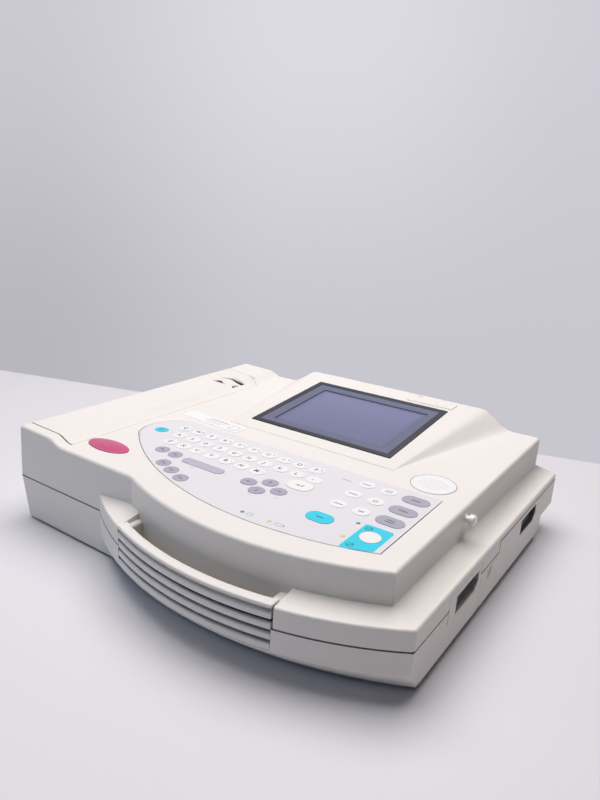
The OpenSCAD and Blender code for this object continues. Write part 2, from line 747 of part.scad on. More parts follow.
module carry_grip() color(shell) at_front() difference() {
    union() {
        translate([0, 0, grip_z0]) linear_extrude(grip_z1 - grip_z0)
            grip_ring(bulge_r - grip_t, bulge_r, seam_gap);
        translate([0, 0, grip_z0]) linear_extrude(grip_z1 - grip_z0 - 2) {
            grip_arm2d(grip_x0 + seam_gap, arm_t, 0.1);
            grip_arm2d(grip_x1 - seam_gap - arm_t, arm_t, 0.1);
        }
        difference() {
            grip_tenons(0);
            translate([0, 0, -1]) linear_extrude(tall) difference() {
                translate([-hw, -bulge_out * 2]) square([case_w, bulge_out * 2.5]);
                plan2d(deck_right, deck_out, -0.1 - eps);
            }
        }
    }
    for (k = [0:groove_n - 1]) translate([0, 0, grip_z1 - 5.3 - groove_pitch * k]) linear_extrude(groove_h)
        grip_ring(bulge_r - groove_d, bulge_r + 2, -1);
}

// ---- keypad ----
module pad2d(i) difference() {
    intersection() {
        translate([pad_x, pad_r + pad_front]) circle(r = pad_r - i, $fn = round_fn);
        translate([pad_left + i, 0]) square([pad_right - pad_left - 2 * i, pad_rear - i]);
    }
    // rounded left end
    difference() {
        translate([pad_left - 1, 0]) square([pad_corner + 1, tall]);
        translate([pad_left + pad_corner, pad_rear - pad_corner]) circle(r = pad_corner - i, $fn = 96);
        translate([pad_left + pad_corner / 2, 0]) square([pad_corner, pad_rear - 1.6 * pad_corner]);
    }
}
module badge2d(g) translate([badge_x, badge_y]) scale([1, (badge_d + 2 * g) / (badge_w + 2 * g)])
    circle(d = badge_w + 2 * g, $fn = 120);
module name2d(g) translate([window_w / 2 - 23, window_d / 2 + 11])
    square([name_w + 2 * g, name_d + 2 * g], center = true);
module key2d(k, g) translate([k[1], k[2]]) oval2d(k[3] + 2 * g, k[4] + 2 * g);
module field2d(g) offset(r = 2 + g) offset(delta = -2)
    polygon([for (p = [[131, 52], [152.5, 52], [152.5, 22], [131, 13]]) [p[0], p[1] * pad_share]]);
module key_row(list) on_deck() for (p = list) translate([p[0], p[1], 0])
    linear_extrude(key_rise) oval2d(key_w, key_d);

module keypad_foil() color("#cfcbd6") at_front() on_deck() translate([0, 0, -pad_t]) linear_extrude(pad_t)
    difference() {
        pad2d(pad_gap);
        for (k = moving_keys) key2d(k, key_gap);
        for (p = light_at) translate(p) circle(r = light_r, $fn = 24);
    }
module start_field() color("#36c6da") at_front() on_deck() linear_extrude(key_rise / 2) difference() {
    field2d(0);
    key2d(moving_keys[1], key_gap);
}
module letter_keys() color("white") at_front() key_row(
    [for (r = letter_rows) for (n = [0:r[2] - 1]) [r[0] + n * key_pitch, r[1] * pad_share]]);
module function_keys() color("white") at_front() key_row(
    [for (r = [0, 1, 2]) for (c = [0, 1]) [100 + c * 19, (107 - r * 21) * pad_share]]);
module edit_keys() color("#b8b8c4") at_front() key_row(
    [for (p = [[-69, 54], [-53, 53], [-48, 35], [-33, 29], [-17, 23]]) [p[0], p[1] * pad_share]]);
module moving_key(n) let (k = moving_keys[n]) at_front() on_deck() {
    translate([0, 0, key_travel + 0.1 - pad_t])
        linear_extrude(pad_t + key_rise - key_travel - 0.1) key2d(k, 0);
    translate([k[1], k[2], key_travel + 0.1 - wall - 1])
        cylinder(r = stem_r, h = wall + 1 - pad_t + eps, $fn = 32);
}
module power_key() color("#36c6da") moving_key(0);
module start_key() color("white") moving_key(1);
module copy_key() color("#36c6da") moving_key(2);
module mode_key_a() color("#b8b8c4") moving_key(3);
module mode_key_b() color("#b8b8c4") moving_key(4);
module mode_key_c() color("#b8b8c4") moving_key(5);
module enter_key() color("white") moving_key(6);
module space_key() color("white") moving_key(7);
module arrow_left() color("#b8b8c4") moving_key(8);
module arrow_up() color("#b8b8c4") moving_key(9);
module arrow_down() color("#b8b8c4") moving_key(10);
module arrow_right() color("#b8b8c4") moving_key(11);
module status_lights() color("#6fd06f") at_front() on_deck() for (p = light_at)
    translate([p[0], p[1], -pad_t]) {
    cylinder(r = light_r - 0.1, h = pad_t, $fn = 24);
    translate([0, 0, pad_t]) cylinder(r1 = light_r - 0.1, r2 = light_r * 0.6, h = key_rise, $fn = 24);
}
module keypad_board() color("#1f6b3f") at_front() on_deck() {
    difference() {
        translate([0, 0, -wall - 1 - board_t]) linear_extrude(board_t) intersection() {
            pad2d(5);
            translate([pad_left, 0]) square([pad_right - pad_left, pad_rear]);
        }
    }
    for (p = [[-95, 100], [-95, 70], [24, 100], [24, 18], [86, 18], [86, 108], [126, 96], [120, 38]])
        translate([p[0], p[1] * pad_share, -wall - 1]) cylinder(r = 2.5, h = 1, $fn = 24);
}

// ---- display ----
module display_bezel() color("#3a3f4a") at_front() on_window() translate([0, 0, -bezel_t]) difference() {
    linear_extrude(bezel_t) difference() {
        square([window_w - 2 * seam_gap, window_d - 2 * seam_gap], center = true);
        square([screen_w, screen_d], center = true);
    }
    translate([0, 0, -eps]) linear_extrude(glass_t + eps)
        square([screen_w + 2 * glass_lip + 0.4, screen_d + 2 * glass_lip + 0.4], center = true);
}
module display_window() color("#9fb4d8") at_front() on_window() translate([0, 0, -bezel_t])
    linear_extrude(glass_t) square([screen_w + 2 * glass_lip, screen_d + 2 * glass_lip], center = true);
module lcd_module() color("#5a6272") at_front() on_window() translate([0, 0, -bezel_t - lcd_t]) {
    linear_extrude(lcd_t - 1) square([lcd_w, lcd_d], center = true);
    linear_extrude(lcd_t) square([screen_w + 2 * glass_lip, screen_d + 2 * glass_lip], center = true);
}
module lcd_bracket() color("silver") at_front() on_window() for (s = [-1, 1])
    translate([0, s * lcd_d * 0.3 - 6, 0]) along_y(0, 12) {
        translate([-lcd_w / 2 - 2.4, -bezel_t - lcd_t - 1]) square([lcd_w + 4.8, 1]);
        for (m = [0, 1]) mirror([m, 0]) {
            translate([lcd_w / 2 + 1.4, -bezel_t - lcd_t - 1]) square([1, lcd_t + 1 - rim_t]);
            translate([lcd_w / 2 + 1.4, -bezel_t - rim_t - 1]) square([6, 1]);
        }
    }

// ---- boards, supply and battery ----
module main_board() color("#1f6b3f") at_front() translate([0, 0, board_z]) {
    difference() {
        linear_extrude(board_t) translate([-104, 128]) square([258, case_d - 184]);
        for (p = board_posts) translate([p[0], p[1], -1])
            cylinder(r = board_hole + 0.2, h = board_t + 2, $fn = 24);
    }
    // packages under the board
    for (p = [
        [-60, 150, 28, 28], [0, 150, 20, 14], [40, 148, 24, 24], [100, 160, 30, 12], [110, 200, 18, 18],
    ])
        translate([p[0], p[1], -2.4]) cube([p[2], p[3], 2.4 + eps]);
    // patient input module
    translate([120, 140, -12]) cube([24, 40, 12 + eps]);
}
module flat_cables() color("#c9c2b0") at_front() {
    // keypad to main board
    on_deck() translate([-20, 100, -wall - 1 - board_t - 3]) cube([36, 8, 3]);
    translate([-18, 0, 0]) along_x(0, 32) polygon([
        [102, 78.4 - 3.4], [123, 78.4 - 3.4], [123, board_z + board_t + 1], [138, board_z + board_t + 1],
        [138, board_z + board_t], [122, board_z + board_t], [122, 78.4 - 4.4], [102, 78.4 - 4.4],
    ]);
    // display to main board
    on_window() translate([-20, -46, -bezel_t - lcd_t - 3]) cube([30, 6, 3]);
    translate([-4, cable_y, board_z + board_t])
        cube([26, 1, hood_at(cable_y) - bezel_t - lcd_t - 2.6 - board_z - board_t]);
    translate([-4, cable_y - 2.5, board_z + board_t]) cube([26, 6, 3]);
    // supply to main board
    translate([70, supply_y + 38, supply_z + board_t]) cube([26, 1, board_z - supply_z - board_t]);
    translate([68, supply_y + 35.5, board_z - 4]) cube([30, 6, 4]);
    translate([68, supply_y + 35.5, supply_z + board_t]) cube([30, 6, 4]);
}
module power_board() color("#2d7a4a") at_front() translate([20, supply_y, 0]) {
    translate([0, 0, supply_z]) cube([90, 68, board_t]);
    for (p = [[5, 5], [85, 5], [5, 63], [85, 63]]) translate([p[0], p[1], floor_z])
        cylinder(r = 3, h = supply_z - floor_z + eps, $fn = 24);
    for (p = [[18, 12, 8], [18, 32, 8], [72, 14, 6]]) translate([p[0], p[1], supply_z + board_t - eps])
        cylinder(r = p[2], h = 26, $fn = 40);
    translate([35, 6, supply_z + board_t - eps]) cube([22, 18, 16]);
    for (n = [0:4]) translate([8 + 7 * n, 50, supply_z + board_t - eps]) cube([2, 14, 22]);
    translate([8, 56, supply_z + board_t - eps]) cube([30, 2, 22]);
}
module transformer() color("#6b6f76") at_front() translate([-62, core_y, floor_z]) {
    difference() {
        translate([0, 8, 2]) cube([60, 34, 48]);
        translate([10, 7, 12]) cube([40, 36, 28]);
    }
    translate([20, 7, 4]) cube([20, 36, 44]);
    difference() {
        translate([11, 0, 12.5]) cube([38, 50, 27]);
        translate([19.9, 6.9, 0]) cube([20.2, 36.2, 60]);
    }
    difference() {
        translate([-8, 8, 0]) cube([76, 34, 2.2]);
        for (x = [-4, 64]) translate([x, 25, -1]) cylinder(r = 2.2, h = 5, $fn = 24);
    }
}
module battery_pack() color("#3d6fa8") at_front()
    translate([bay_x1 - pack_gap - pack_l, bay_y0 + pack_gap, floor_z]) {
    cube([pack_l, bay_w - 2 * pack_gap, bay_z1 - floor_z - pack_gap]);
    translate([-3, 8, 8]) cube([3 + eps, bay_w - 2 * pack_gap - 16, 10]);
}
module battery_door() color(shell) at_front() difference() {
    union() {
        intersection() {
            lower_solid(0, seam_z);
            along_x(hw - wall - 0.4, tall) bay2d(-seam_gap);
        }
        translate([bay_pin_x, bay_y0 - bay_pin_l + seam_gap, bay_pin_z]) rotate([-90, 0, 0])
            cylinder(r = bay_pin_r, h = bay_w + 2 * bay_pin_l - 2 * seam_gap, $fn = 24);
    }
    // finger notch
    translate([hw, bay_y0 + bay_w / 2, bay_z1 - 4]) rotate([0, 90, 0])
        cylinder(r = 6, h = 2.4, center = true, $fn = 48);
    // rolled lower edge, round the pin, so that the door swings clear of the bay
    along_y(bay_y0 - 1, bay_w + 2) translate([bay_pin_x, bay_pin_z]) difference() {
        translate([-2 * wall, -2 * bay_pin_z]) square([4 * wall, 2 * bay_pin_z]);
        circle(r = bay_pin_z - floor_z - seam_gap, $fn = 64);
    }
}

// ---- sockets ----
module dsub2d(g) polygon([
    [-dsub_w / 2 + g, dsub_h / 2 - g], [dsub_w / 2 - g, dsub_h / 2 - g],
    [dsub_w / 2 - g - 1.4, -dsub_h / 2 + g], [-dsub_w / 2 + g + 1.4, -dsub_h / 2 + g],
]);
module dsub(y, z) translate([0, y, z]) {
    along_x(hw - recess_d, 1) difference() {
        intersection() {
            square([dsub_w + 12, dsub_h + 4], center = true);
            recess2d(recess_w - 1, recess_h - 1, recess_chamfer);
        }
        for (s = [-1, 1]) translate([s * (dsub_w / 2 + 3.2), 0]) circle(r = 1.5, $fn = 24);
    }
    along_x(hw - recess_d, 6) difference() {
        dsub2d(0.2);
        dsub2d(0.8);
    }
    difference() {
        along_x(hw - recess_d - wall - 6, wall + 11) dsub2d(0.9);
        for (n = [0:7]) translate([hw - recess_d + 2, (n - 3.5) * 2.5, 1.4]) rotate([0, 90, 0])
            cylinder(r = 0.6, h = 4, $fn = 16);
        for (n = [0:6]) translate([hw - recess_d + 2, (n - 3) * 2.5, -1.4]) rotate([0, 90, 0])
            cylinder(r = 0.6, h = 4, $fn = 16);
    }
    along_x(hw - recess_d, 1) dsub2d(0.3);
}
module connector_panel() color(shell) at_front() difference() {
    union() {
        along_x(hw - wall, wall) panel2d(0);
        intersection() {
            along_x(hw - wall - recess_d, recess_d + wall / 2) translate([recess_y, recess_z])
                recess2d(recess_w + 2 * frame_t, recess_h + 2 * frame_t, recess_chamfer);
            along_x(0, case_w) panel2d(0);
        }
        along_x(hw - wall - 6, 6 + eps) translate([panel_y0 + 2, panel_z0 + 2]) difference() {
            square([panel_w - 4, panel_h - 4]);
            translate([1.5, 1.5]) square([panel_w - 7, panel_h - 7]);
        }
    }
    along_x(hw - recess_d, tall) translate([recess_y, recess_z]) recess2d(recess_w, recess_h, recess_chamfer);
    along_x(0, case_w) translate([recess_y, recess_z]) square([dsub_w, dsub_h], center = true);
}
module patient_socket() color("silver") at_front() dsub(recess_y, recess_z);
module signal_socket() color("silver") at_front() dsub(signal_y, signal_z);
module mains_inlet() color("#26262a") at_front() translate([inlet_x, 0, inlet_z]) {
    difference() {
        union() {
            along_y(case_d - wall - 2, 2) square([inlet_w, inlet_h], center = true);
            along_y(case_d - inlet_open_d - 2, inlet_open_d + 2)
                square([inlet_open_w + 3 - 2 * seam_gap, inlet_open_h + 3 - 2 * seam_gap], center = true);
        }
        along_y(case_d - inlet_open_d, inlet_open_d + 1) polygon([
            [-inlet_open_w / 2, -inlet_open_h / 2], [inlet_open_w / 2, -inlet_open_h / 2],
            [inlet_open_w / 2, inlet_open_h / 2 - 4], [inlet_open_w / 2 - 4, inlet_open_h / 2],
            [4 - inlet_open_w / 2, inlet_open_h / 2], [-inlet_open_w / 2, inlet_open_h / 2 - 4],
        ]);
    }
    for (p = [[-7, -2], [0, 2], [7, -2]]) along_y(case_d - inlet_open_d - eps, 14)
        translate(p) square([2, 4], center = true);
}
module lead_stud() color("white") at_front() translate([deck_right, stud_y, stud_z]) rotate([0, 90, 0]) {
    translate([0, 0, -wall - 4]) cylinder(r = stud_neck, h = wall + 4 + stud_l - 1, $fn = 40);
    cylinder(r = stud_r - 0.8, h = 1.2, $fn = 48);
    translate([0, 0, stud_l / 2]) cylinder(r = stud_r, h = stud_l / 2 - 1.2, $fn = 48);
    translate([0, 0, stud_l - 1.2 - eps]) cylinder(r1 = stud_r, r2 = stud_r - 1.2, h = 1.2 + eps, $fn = 48);
    translate([0, 0, -wall - 3]) cylinder(r = stud_r, h = 3, $fn = 6);
}

// ---- paper door ----
module scoop2d(g) offset(r = g) intersection() {
    translate([scoop_x0 + scoop_w, scoop_y - scoop_w / 2 + 2]) circle(r = scoop_w + 2, $fn = 96);
    translate([scoop_x0 - 2, scoop_y - scoop_w / 2]) square([scoop_x1 - scoop_x0 + 2, scoop_w]);
}
module scoop_room(g) intersection() {
    translate([0, 0, door_z0]) linear_extrude(tall) scoop2d(g);
    translate([scoop_x0, 0, scoop_z - g]) rotate([0, atan(scoop_fall / (scoop_x1 - scoop_x0)), 0])
        translate([-tall, 0, 0]) cube([2 * tall, case_d, tall]);
}
module paper_door() color(shell) at_front() difference() {
    union() {
        intersection() {
            union() {
                difference() {
                    upper_solid(0, seam_z);
                    upper_solid(wall, seam_z - 1);
                }
                intersection() {
                    scoop_room(wall);
                    upper_solid(0, seam_z);
                }
            }
            door_space(0, door_z0);
        }
        // cheeks for the platen
        for (y = cheek_ys) intersection() {
            along_y(y, cheek_t) translate([platen_x, platen_z]) {
                circle(r = bush_r + 2, $fn = 48);
                translate([-bush_r - 2, 0]) square([2 * bush_r + 4, tall]);
            }
            upper_solid(wall / 2, seam_z);
        }
        // guide of the release button
        intersection() {
            translate([button_x, button_y, button_z - 18]) cylinder(r = button_r + 2.6, h = 18, $fn = 48);
            upper_solid(wall / 2, seam_z);
        }
        for (y = hinge_ys) {
            knuckle(y + knuckle_l + 0.3, knuckle_l - 0.3);
            translate([left_at(door_z0) + 0.2, y + knuckle_l + 0.3, hinge_z])
                cube([wall - 0.2, knuckle_l - 0.3, door_z0 - hinge_z + 1]);
        }
    }
    scoop_room(0);
    for (y = hinge_ys) pin_bore(y + knuckle_l - 1, knuckle_l + 3, pin_r + run_fit);
    for (y = cheek_ys) along_y(y - 1, cheek_t + 2) translate([platen_x, platen_z])
        circle(r = bush_r + 0.05, $fn = 48);
    translate([button_x, button_y, 0]) {
        translate([0, 0, button_z - 16]) cylinder(r = button_r + 0.9, h = 10, $fn = 48);
        translate([0, 0, button_z - 7]) cylinder(r = button_r + 0.25, h = 30, $fn = 48);
        cylinder(r = 1.9, h = tall, $fn = 32);
    }
}
module hinge_pins() color("silver") at_front() for (y = hinge_ys)
    pin_bore(y + 1, 2 * knuckle_l - 1.5, pin_r);
module release_button() color("#4a4d55") at_front() translate([button_x, button_y, button_z]) {
    translate([0, 0, -7]) cylinder(r = button_r, h = 7 + button_travel - 0.5, $fn = 48);
    translate([0, 0, -7.4]) cylinder(r = button_r + 0.7, h = 1.2, $fn = 48);
    translate([0, 0, -19]) cylinder(r = 1.6, h = 12.5, $fn = 32);
}
// coil spring standing on z = 0; each layer cuts the wire in a crescent
module coil_spring(r, wire, h, turns) linear_extrude(height = h, twist = -360 * turns, slices = 12 * turns)
    polygon(concat(
    [for (a = [-1:0.4:1]) (r + wire * sqrt(1.02 - a * a)) * [cos(70 * a), sin(70 * a)]],
    [for (a = [1:-0.4:-1]) (r - wire * sqrt(1.02 - a * a)) * [cos(70 * a), sin(70 * a)]]
));
module button_spring() color("silver") at_front() translate([button_x, button_y, button_z - 16])
    coil_spring(3.1, 0.45, 8.6, 4);

// ---- writer ----
module gear2d(teeth, phase) {
    base = gear_m * teeth / 2 * cos(20);
    root = gear_m * (teeth / 2 - 1.25);
    tip = gear_m * (teeth / 2 + 0.95);
    low = max(root + 0.05, base);
    polygon([for (n = [0:teeth - 1]) each concat(
        [for (r = [root, low, (low + tip) / 2, tip]) flank(r, teeth, phase + 360 / teeth * n, -1, base)],
        [for (r = [tip, (low + tip) / 2, low, root]) flank(r, teeth, phase + 360 / teeth * n, 1, base)]
    )]);
}
function involute(a) = tan(a) * 180 / PI - a;
function flank(r, teeth, at, side, base) = let (
        a = r > base ? acos(base / r) : 0,
        half = 90 / teeth + involute(20) - involute(a) - 0.08 / (gear_m * teeth / 2) * 180 / PI
    ) [r * cos(at + side * half), r * sin(at + side * half)];

module writer_frame() color("#4b4f57") at_front() difference() {
    union() {
        translate([well_x0, well_y0, well_z0]) difference() {
            cube([well_x1 - well_x0, well_y1 - well_y0, well_z1 - well_z0]);
            translate([frame_t, frame_t, frame_t])
                cube([well_x1 - well_x0 - 2 * frame_t, well_y1 - well_y0 - 2 * frame_t, tall]);
        }
        translate([well_left, well_y0, well_z1])
            cube([well_x0 + frame_t - well_left, well_y1 - well_y0, frame_t]);
        translate([well_left, well_y0, well_z1]) cube([frame_t, well_y1 - well_y0, shelf_z + 12 - well_z1]);
    }
    along_y(0, case_d) translate([roll_x, roll_z]) circle(r = 3 + run_fit, $fn = 32);
}
module roll_hubs() color("#8b8f98") at_front() for (m = [0, 1])
    translate([roll_x, m ? well_y0 + well_y1 : 0, roll_z]) mirror([0, m, 0]) rotate([-90, 0, 0]) {
        translate([0, 0, well_y0 + 0.4]) cylinder(r = 3, h = frame_t + 1, $fn = 32);
        translate([0, 0, well_y0 + frame_t + 0.3]) cylinder(r = roll_r * 0.6, h = 2, $fn = 64);
        translate([0, 0, well_y0 + frame_t + 2])
            cylinder(r = 8, h = paper_y0 - well_y0 - frame_t + 4, $fn = 48);
    }
module printhead() color("#d8d0c0") at_front() translate([head_x - head_t, paper_y0 + 1, head_z0])
    cube([head_t, paper_l - 2, head_h]);
module head_bracket() color("silver") at_front() translate([head_x - head_t - frame_t, paper_y0, shelf_z]) {
    cube([frame_t, paper_l, 12]);
    translate([-2, 0, 0]) cube([2 + eps, paper_l, 1.2]);
}
module head_springs() color("silver") at_front() for (y = [-70, 0, 70])
    translate([well_left + frame_t, paper_y0 + paper_l / 2 + y, shelf_z + 7]) rotate([0, 90, 0])
        coil_spring(2.6, 0.4, head_x - head_t - 2 * frame_t - well_left, 3);
module platen() color("#2b2b2b") at_front() along_y(paper_y0 + 1, paper_l - 2) translate([platen_x, platen_z])
    difference() {
        circle(r = platen_r, $fn = 72);
        circle(r = shaft_r + 0.02, $fn = 40);
    }
module platen_shaft() color("silver") at_front()
    along_y(cheek_ys[0] - 2, gear_y + gear_t + 0.5 - cheek_ys[0] + 2)
    translate([platen_x, platen_z]) circle(r = shaft_r, $fn = 40);
module shaft_bushings() color("#b5893c") at_front() for (y = cheek_ys) translate([platen_x, 0, platen_z]) {
    along_y(y, cheek_t) ring2d(shaft_r + run_fit, bush_r);
    along_y(y < case_d / 2 ? y - 0.8 : y + cheek_t, 0.8) ring2d(shaft_r + run_fit, bush_r + 1);
}
module ring2d(r0, r1) difference() {
    circle(r = r1, $fn = 48);
    circle(r = r0, $fn = 40);
}
module platen_gear() color("#e8e2d0") at_front() along_y(gear_y, gear_t)
    translate([platen_x, platen_z]) difference() {
    gear2d(platen_teeth, idler_angle);
    circle(r = shaft_r + 0.02, $fn = 40);
}
module idler_gear() color("#e8e2d0") at_front() along_y(gear_y, gear_t)
    translate([idler_x, idler_z]) difference() {
    gear2d(idler_teeth, idler_phase);
    circle(r = idler_pin_r + run_fit, $fn = 40);
}
module idler_pin() color("silver") at_front() along_y(gear_y - 0.5, gear_t + 3.5)
    translate([idler_x, idler_z])
    circle(r = idler_pin_r, $fn = 40);
module motor_pinion() color("#c9a45a") at_front() {
    along_y(gear_y, gear_t) translate([motor_x, motor_z]) gear2d(pinion_teeth, pinion_phase);
    along_y(gear_y + gear_t - eps, 16) translate([motor_x, motor_z]) circle(r = motor_shaft_r, $fn = 32);
}
module motor() color("#55585f") at_front() difference() {
    along_y(bracket_y + frame_t, motor_l) translate([motor_x, motor_z]) difference() {
        square(motor_w, center = true);
        for (a = [45:90:315]) rotate(a) translate([motor_w * 0.66, 0]) rotate(45) square(6, center = true);
    }
    along_y(bracket_y, 18) translate([motor_x, motor_z]) circle(r = motor_shaft_r + run_fit, $fn = 32);
}
module motor_bracket() color("silver") at_front() {
    along_y(bracket_y, frame_t) difference() {
        translate([platen_x - 11, floor_z]) square([38, motor_z + motor_w / 2 + 1 - floor_z]);
        translate([motor_x, motor_z]) circle(r = motor_shaft_r + 3, $fn = 40);
        translate([idler_x, idler_z]) circle(r = idler_pin_r + 0.02, $fn = 40);
    }
    translate([platen_x - 11, bracket_y - 5, floor_z]) cube([38, 5 + eps, frame_t]);
}

// ---- badge, labels and nameplate ----
module badge() color("#c83c82") at_front() on_deck() translate([0, 0, -badge_t])
    linear_extrude(badge_t + 0.3) badge2d(-0.1);
module labels() color("white") at_front() on_deck() {
    translate([seal_x, seal_y, 0]) cylinder(r = seal_r, h = 0.3, $fn = 72);
    translate([label_x, label_y, 0]) rotate([0, 0, label_turn]) linear_extrude(0.3)
        square([label_w, label_d], center = true);
}
module nameplate() color("#b9bcc4") at_front() on_window() translate([0, 0, -badge_t])
    linear_extrude(badge_t + 0.2) name2d(-0.1);

lower_housing();
upper_housing();
rubber_feet();
housing_screws();
carry_grip();
keypad_foil();
start_field();
letter_keys();
function_keys();
edit_keys();
power_key();
start_key();
copy_key();
mode_key_a();
mode_key_b();
mode_key_c();
enter_key();
space_key();
arrow_left();
arrow_up();
arrow_down();
arrow_right();
status_lights();
keypad_board();
display_bezel();
display_window();
lcd_module();
lcd_bracket();
main_board();
flat_cables();
power_board();
transformer();
battery_pack();
battery_door();
connector_panel();
patient_socket();
signal_socket();
mains_inlet();
lead_stud();
paper_door();
hinge_pins();
release_button();
button_spring();
printhead();
head_bracket();
head_springs();
writer_frame();
roll_hubs();
platen();
platen_shaft();
shaft_bushings();
platen_gear();
idler_gear();
idler_pin();
motor_pinion();
motor();
motor_bracket();
badge();
labels();
nameplate();
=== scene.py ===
"""Dresses the desk-top ECG machine: rounded mouldings, printed keys, screen, labels, finishes and studio."""

import json
import math

import bmesh
import bpy
from mathutils import Matrix, Vector
from mathutils.bvhtree import BVHTree


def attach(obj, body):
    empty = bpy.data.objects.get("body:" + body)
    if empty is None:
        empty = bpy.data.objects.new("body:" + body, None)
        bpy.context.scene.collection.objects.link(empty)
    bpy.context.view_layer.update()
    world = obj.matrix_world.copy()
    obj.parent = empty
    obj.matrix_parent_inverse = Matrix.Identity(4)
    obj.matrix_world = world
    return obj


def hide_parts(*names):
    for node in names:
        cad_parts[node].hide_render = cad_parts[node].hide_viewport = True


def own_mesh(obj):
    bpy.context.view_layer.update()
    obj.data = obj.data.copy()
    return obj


bl_info = {
    "name": "ECG Machine Dressing",
    "version": (1, 0, 0),
    "blender": (4, 5, 0),
    "location": "View3D > Sidebar > ECG Machine",
    "description": "Finishes, printing and rounded mouldings for a desk-top ECG machine",
    "category": "Object",
}

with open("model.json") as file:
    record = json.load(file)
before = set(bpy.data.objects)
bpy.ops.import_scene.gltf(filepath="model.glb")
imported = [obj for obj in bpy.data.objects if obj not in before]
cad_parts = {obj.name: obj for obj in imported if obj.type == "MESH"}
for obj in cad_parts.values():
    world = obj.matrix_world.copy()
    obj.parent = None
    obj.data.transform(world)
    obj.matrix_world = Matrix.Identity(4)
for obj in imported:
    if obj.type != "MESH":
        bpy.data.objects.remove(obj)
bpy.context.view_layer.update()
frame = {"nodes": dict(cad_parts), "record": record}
MM = 0.001
FRONT = 0.1355  # from the row's origin to the flush front face
DECK = Matrix.Translation((0, -FRONT, 0.0816)) @ Matrix.Rotation(math.radians(0.8), 4, "X")
# where mouldings meet and painted shade darkens their seams: the parting line, the door's front end, the connector
# panel, the raised rear wall
SEAM_Z, RAISED_Z, RAISED_Y = 0.040, 0.04965, 0.15345 - FRONT
DOOR_FRONT, DOOR_X = 0.011 - FRONT, -0.133
SIDE_X, PANEL_Y, PANEL_TOP = 0.1915, (0.055 - FRONT, 0.114 - FRONT), 0.0491
TIER_END = 0.1162  # the right end of the tier's front
UPPER_TIER, LOWER_TIER = 0.075, 0.05  # heights above which an edge belongs to the deck, or to the ledge
PAD_X, PAD_Y, PAD_R, PAD_REAR = 0.057, 0.259 + 0.003 - FRONT, 0.259, 0.120 - FRONT
LEFT_X, LEFT_Y, LEFT_R, PAD_RIGHT = -0.093, 0.090 - FRONT, 0.030, 0.157
# depth, height and strength of the painted shade in the two socket recesses, and how far each reaches from its middle
RECESSES = ((0.088 - FRONT, 0.038, 0.62), (0.231 - FRONT, 0.038, 1.0))
RECESS_X, RECESS_HALF_W, RECESS_HALF_H = (0.18, 0.1944), 0.0215, 0.0076
# the grip's arc and its grooves, inside which shade is painted
GRIP_X, GRIP_Y, GRIP_R = 0.053, 0.255 - 0.041 - FRONT, 0.255
GROOVE_TOP, GROOVE_PITCH, GROOVE_SHARE = 0.0538, 0.0073, 2.6 / 7.3
WINDOW = Matrix.Translation((0.014, 0.225 - FRONT, 0.0927)) @ Matrix.Rotation(math.radians(6.4), 4, "X")


def tint(code):
    """Linear red, green and blue of a hex colour."""
    parts = [int(code[i : i + 2], 16) / 255 for i in (1, 3, 5)]
    return tuple(c / 12.92 if c < 0.04045 else ((c + 0.055) / 1.055) ** 2.4 for c in parts)


def full(colour):
    """A colour with full cover."""
    return (*colour[:3], 1.0)


# ---- sizes and colours that a user may change ----
def colour_prop(name, code, note):
    return bpy.props.FloatVectorProperty(
        name=name, description=note, subtype="COLOR", size=3, min=0, max=1, default=tint(code)
    )


def number_prop(name, value, note, **more):
    return bpy.props.FloatProperty(name=name, description=note, default=value, **more)


def length_prop(name, mm, note):
    return number_prop(name, mm * MM, note, min=0, unit="LENGTH", subtype="DISTANCE")


class ShellProps(bpy.types.PropertyGroup):
    """The mouldings of the case."""

    colour: colour_prop("Shell colour", "#ece7e2", "Warm white of the case")
    rim: length_prop("Deck rim", 2.7, "Radius of the deck's outer rim")
    ledge: length_prop("Ledge rim", 1.6, "Radius of the lower tier's rim")
    corner: length_prop("Corner", 2.2, "Radius of the upright corners")
    keel: length_prop("Keel", 0.5, "Radius of the edges under the case")
    seam: length_prop("Seam", 0.3, "Radius along seams and door edges")
    # the dark lines of this half width are painted shade in the seams
    gap: length_prop("Gap", 0.75, "Half width of the dark lines where mouldings meet")


class PanelProps(bpy.types.PropertyGroup):
    """Foil, keys and printing."""

    foil: colour_prop("Foil", "#e2e0e5", "Lavender grey of the keypad foil")
    white_key: colour_prop("White keys", "#f1efee", "White of the letter keys")
    grey_key: colour_prop("Grey keys", "#a9a7b6", "Grey of the mode keys")
    cyan: colour_prop("Cyan", "#2fcfe8", "Cyan of the start field")
    ink: colour_prop("Ink", "#2b2a33", "Dark ink of the legends")
    legend: length_prop("Legend height", 4.2, "Height of the letters")
    ink_t: length_prop("Ink thickness", 0.02, "Thickness of the printing")


class ScreenProps(bpy.types.PropertyGroup):
    """The display."""

    frame: colour_prop("Frame", "#151728", "Slate of the screen frame")
    inner: colour_prop("Inner frame", "#5d6179", "Mask between frame and picture")
    picture: colour_prop("Picture", "#60648f", "Blue violet of the idle picture")
    border: length_prop("Border", 5.2, "Width of the dark border")
    step: length_prop("Step", 0.7, "Depth of the mask below the border")
    offset: length_prop("Offset", 3.6, "How much narrower the mask is at the right and the front")


class LabelProps(bpy.types.PropertyGroup):
    """Badge, labels and nameplate."""

    magenta: colour_prop("Badge", "#c5306f", "Magenta enamel of the badge")
    paper: colour_prop("Label", "#f2f1f2", "White of the labels")
    line: colour_prop("Label line", "#6c6a70", "Thin line round the round label")
    dome: length_prop("Dome", 0.5, "Rounded edge of the badge")


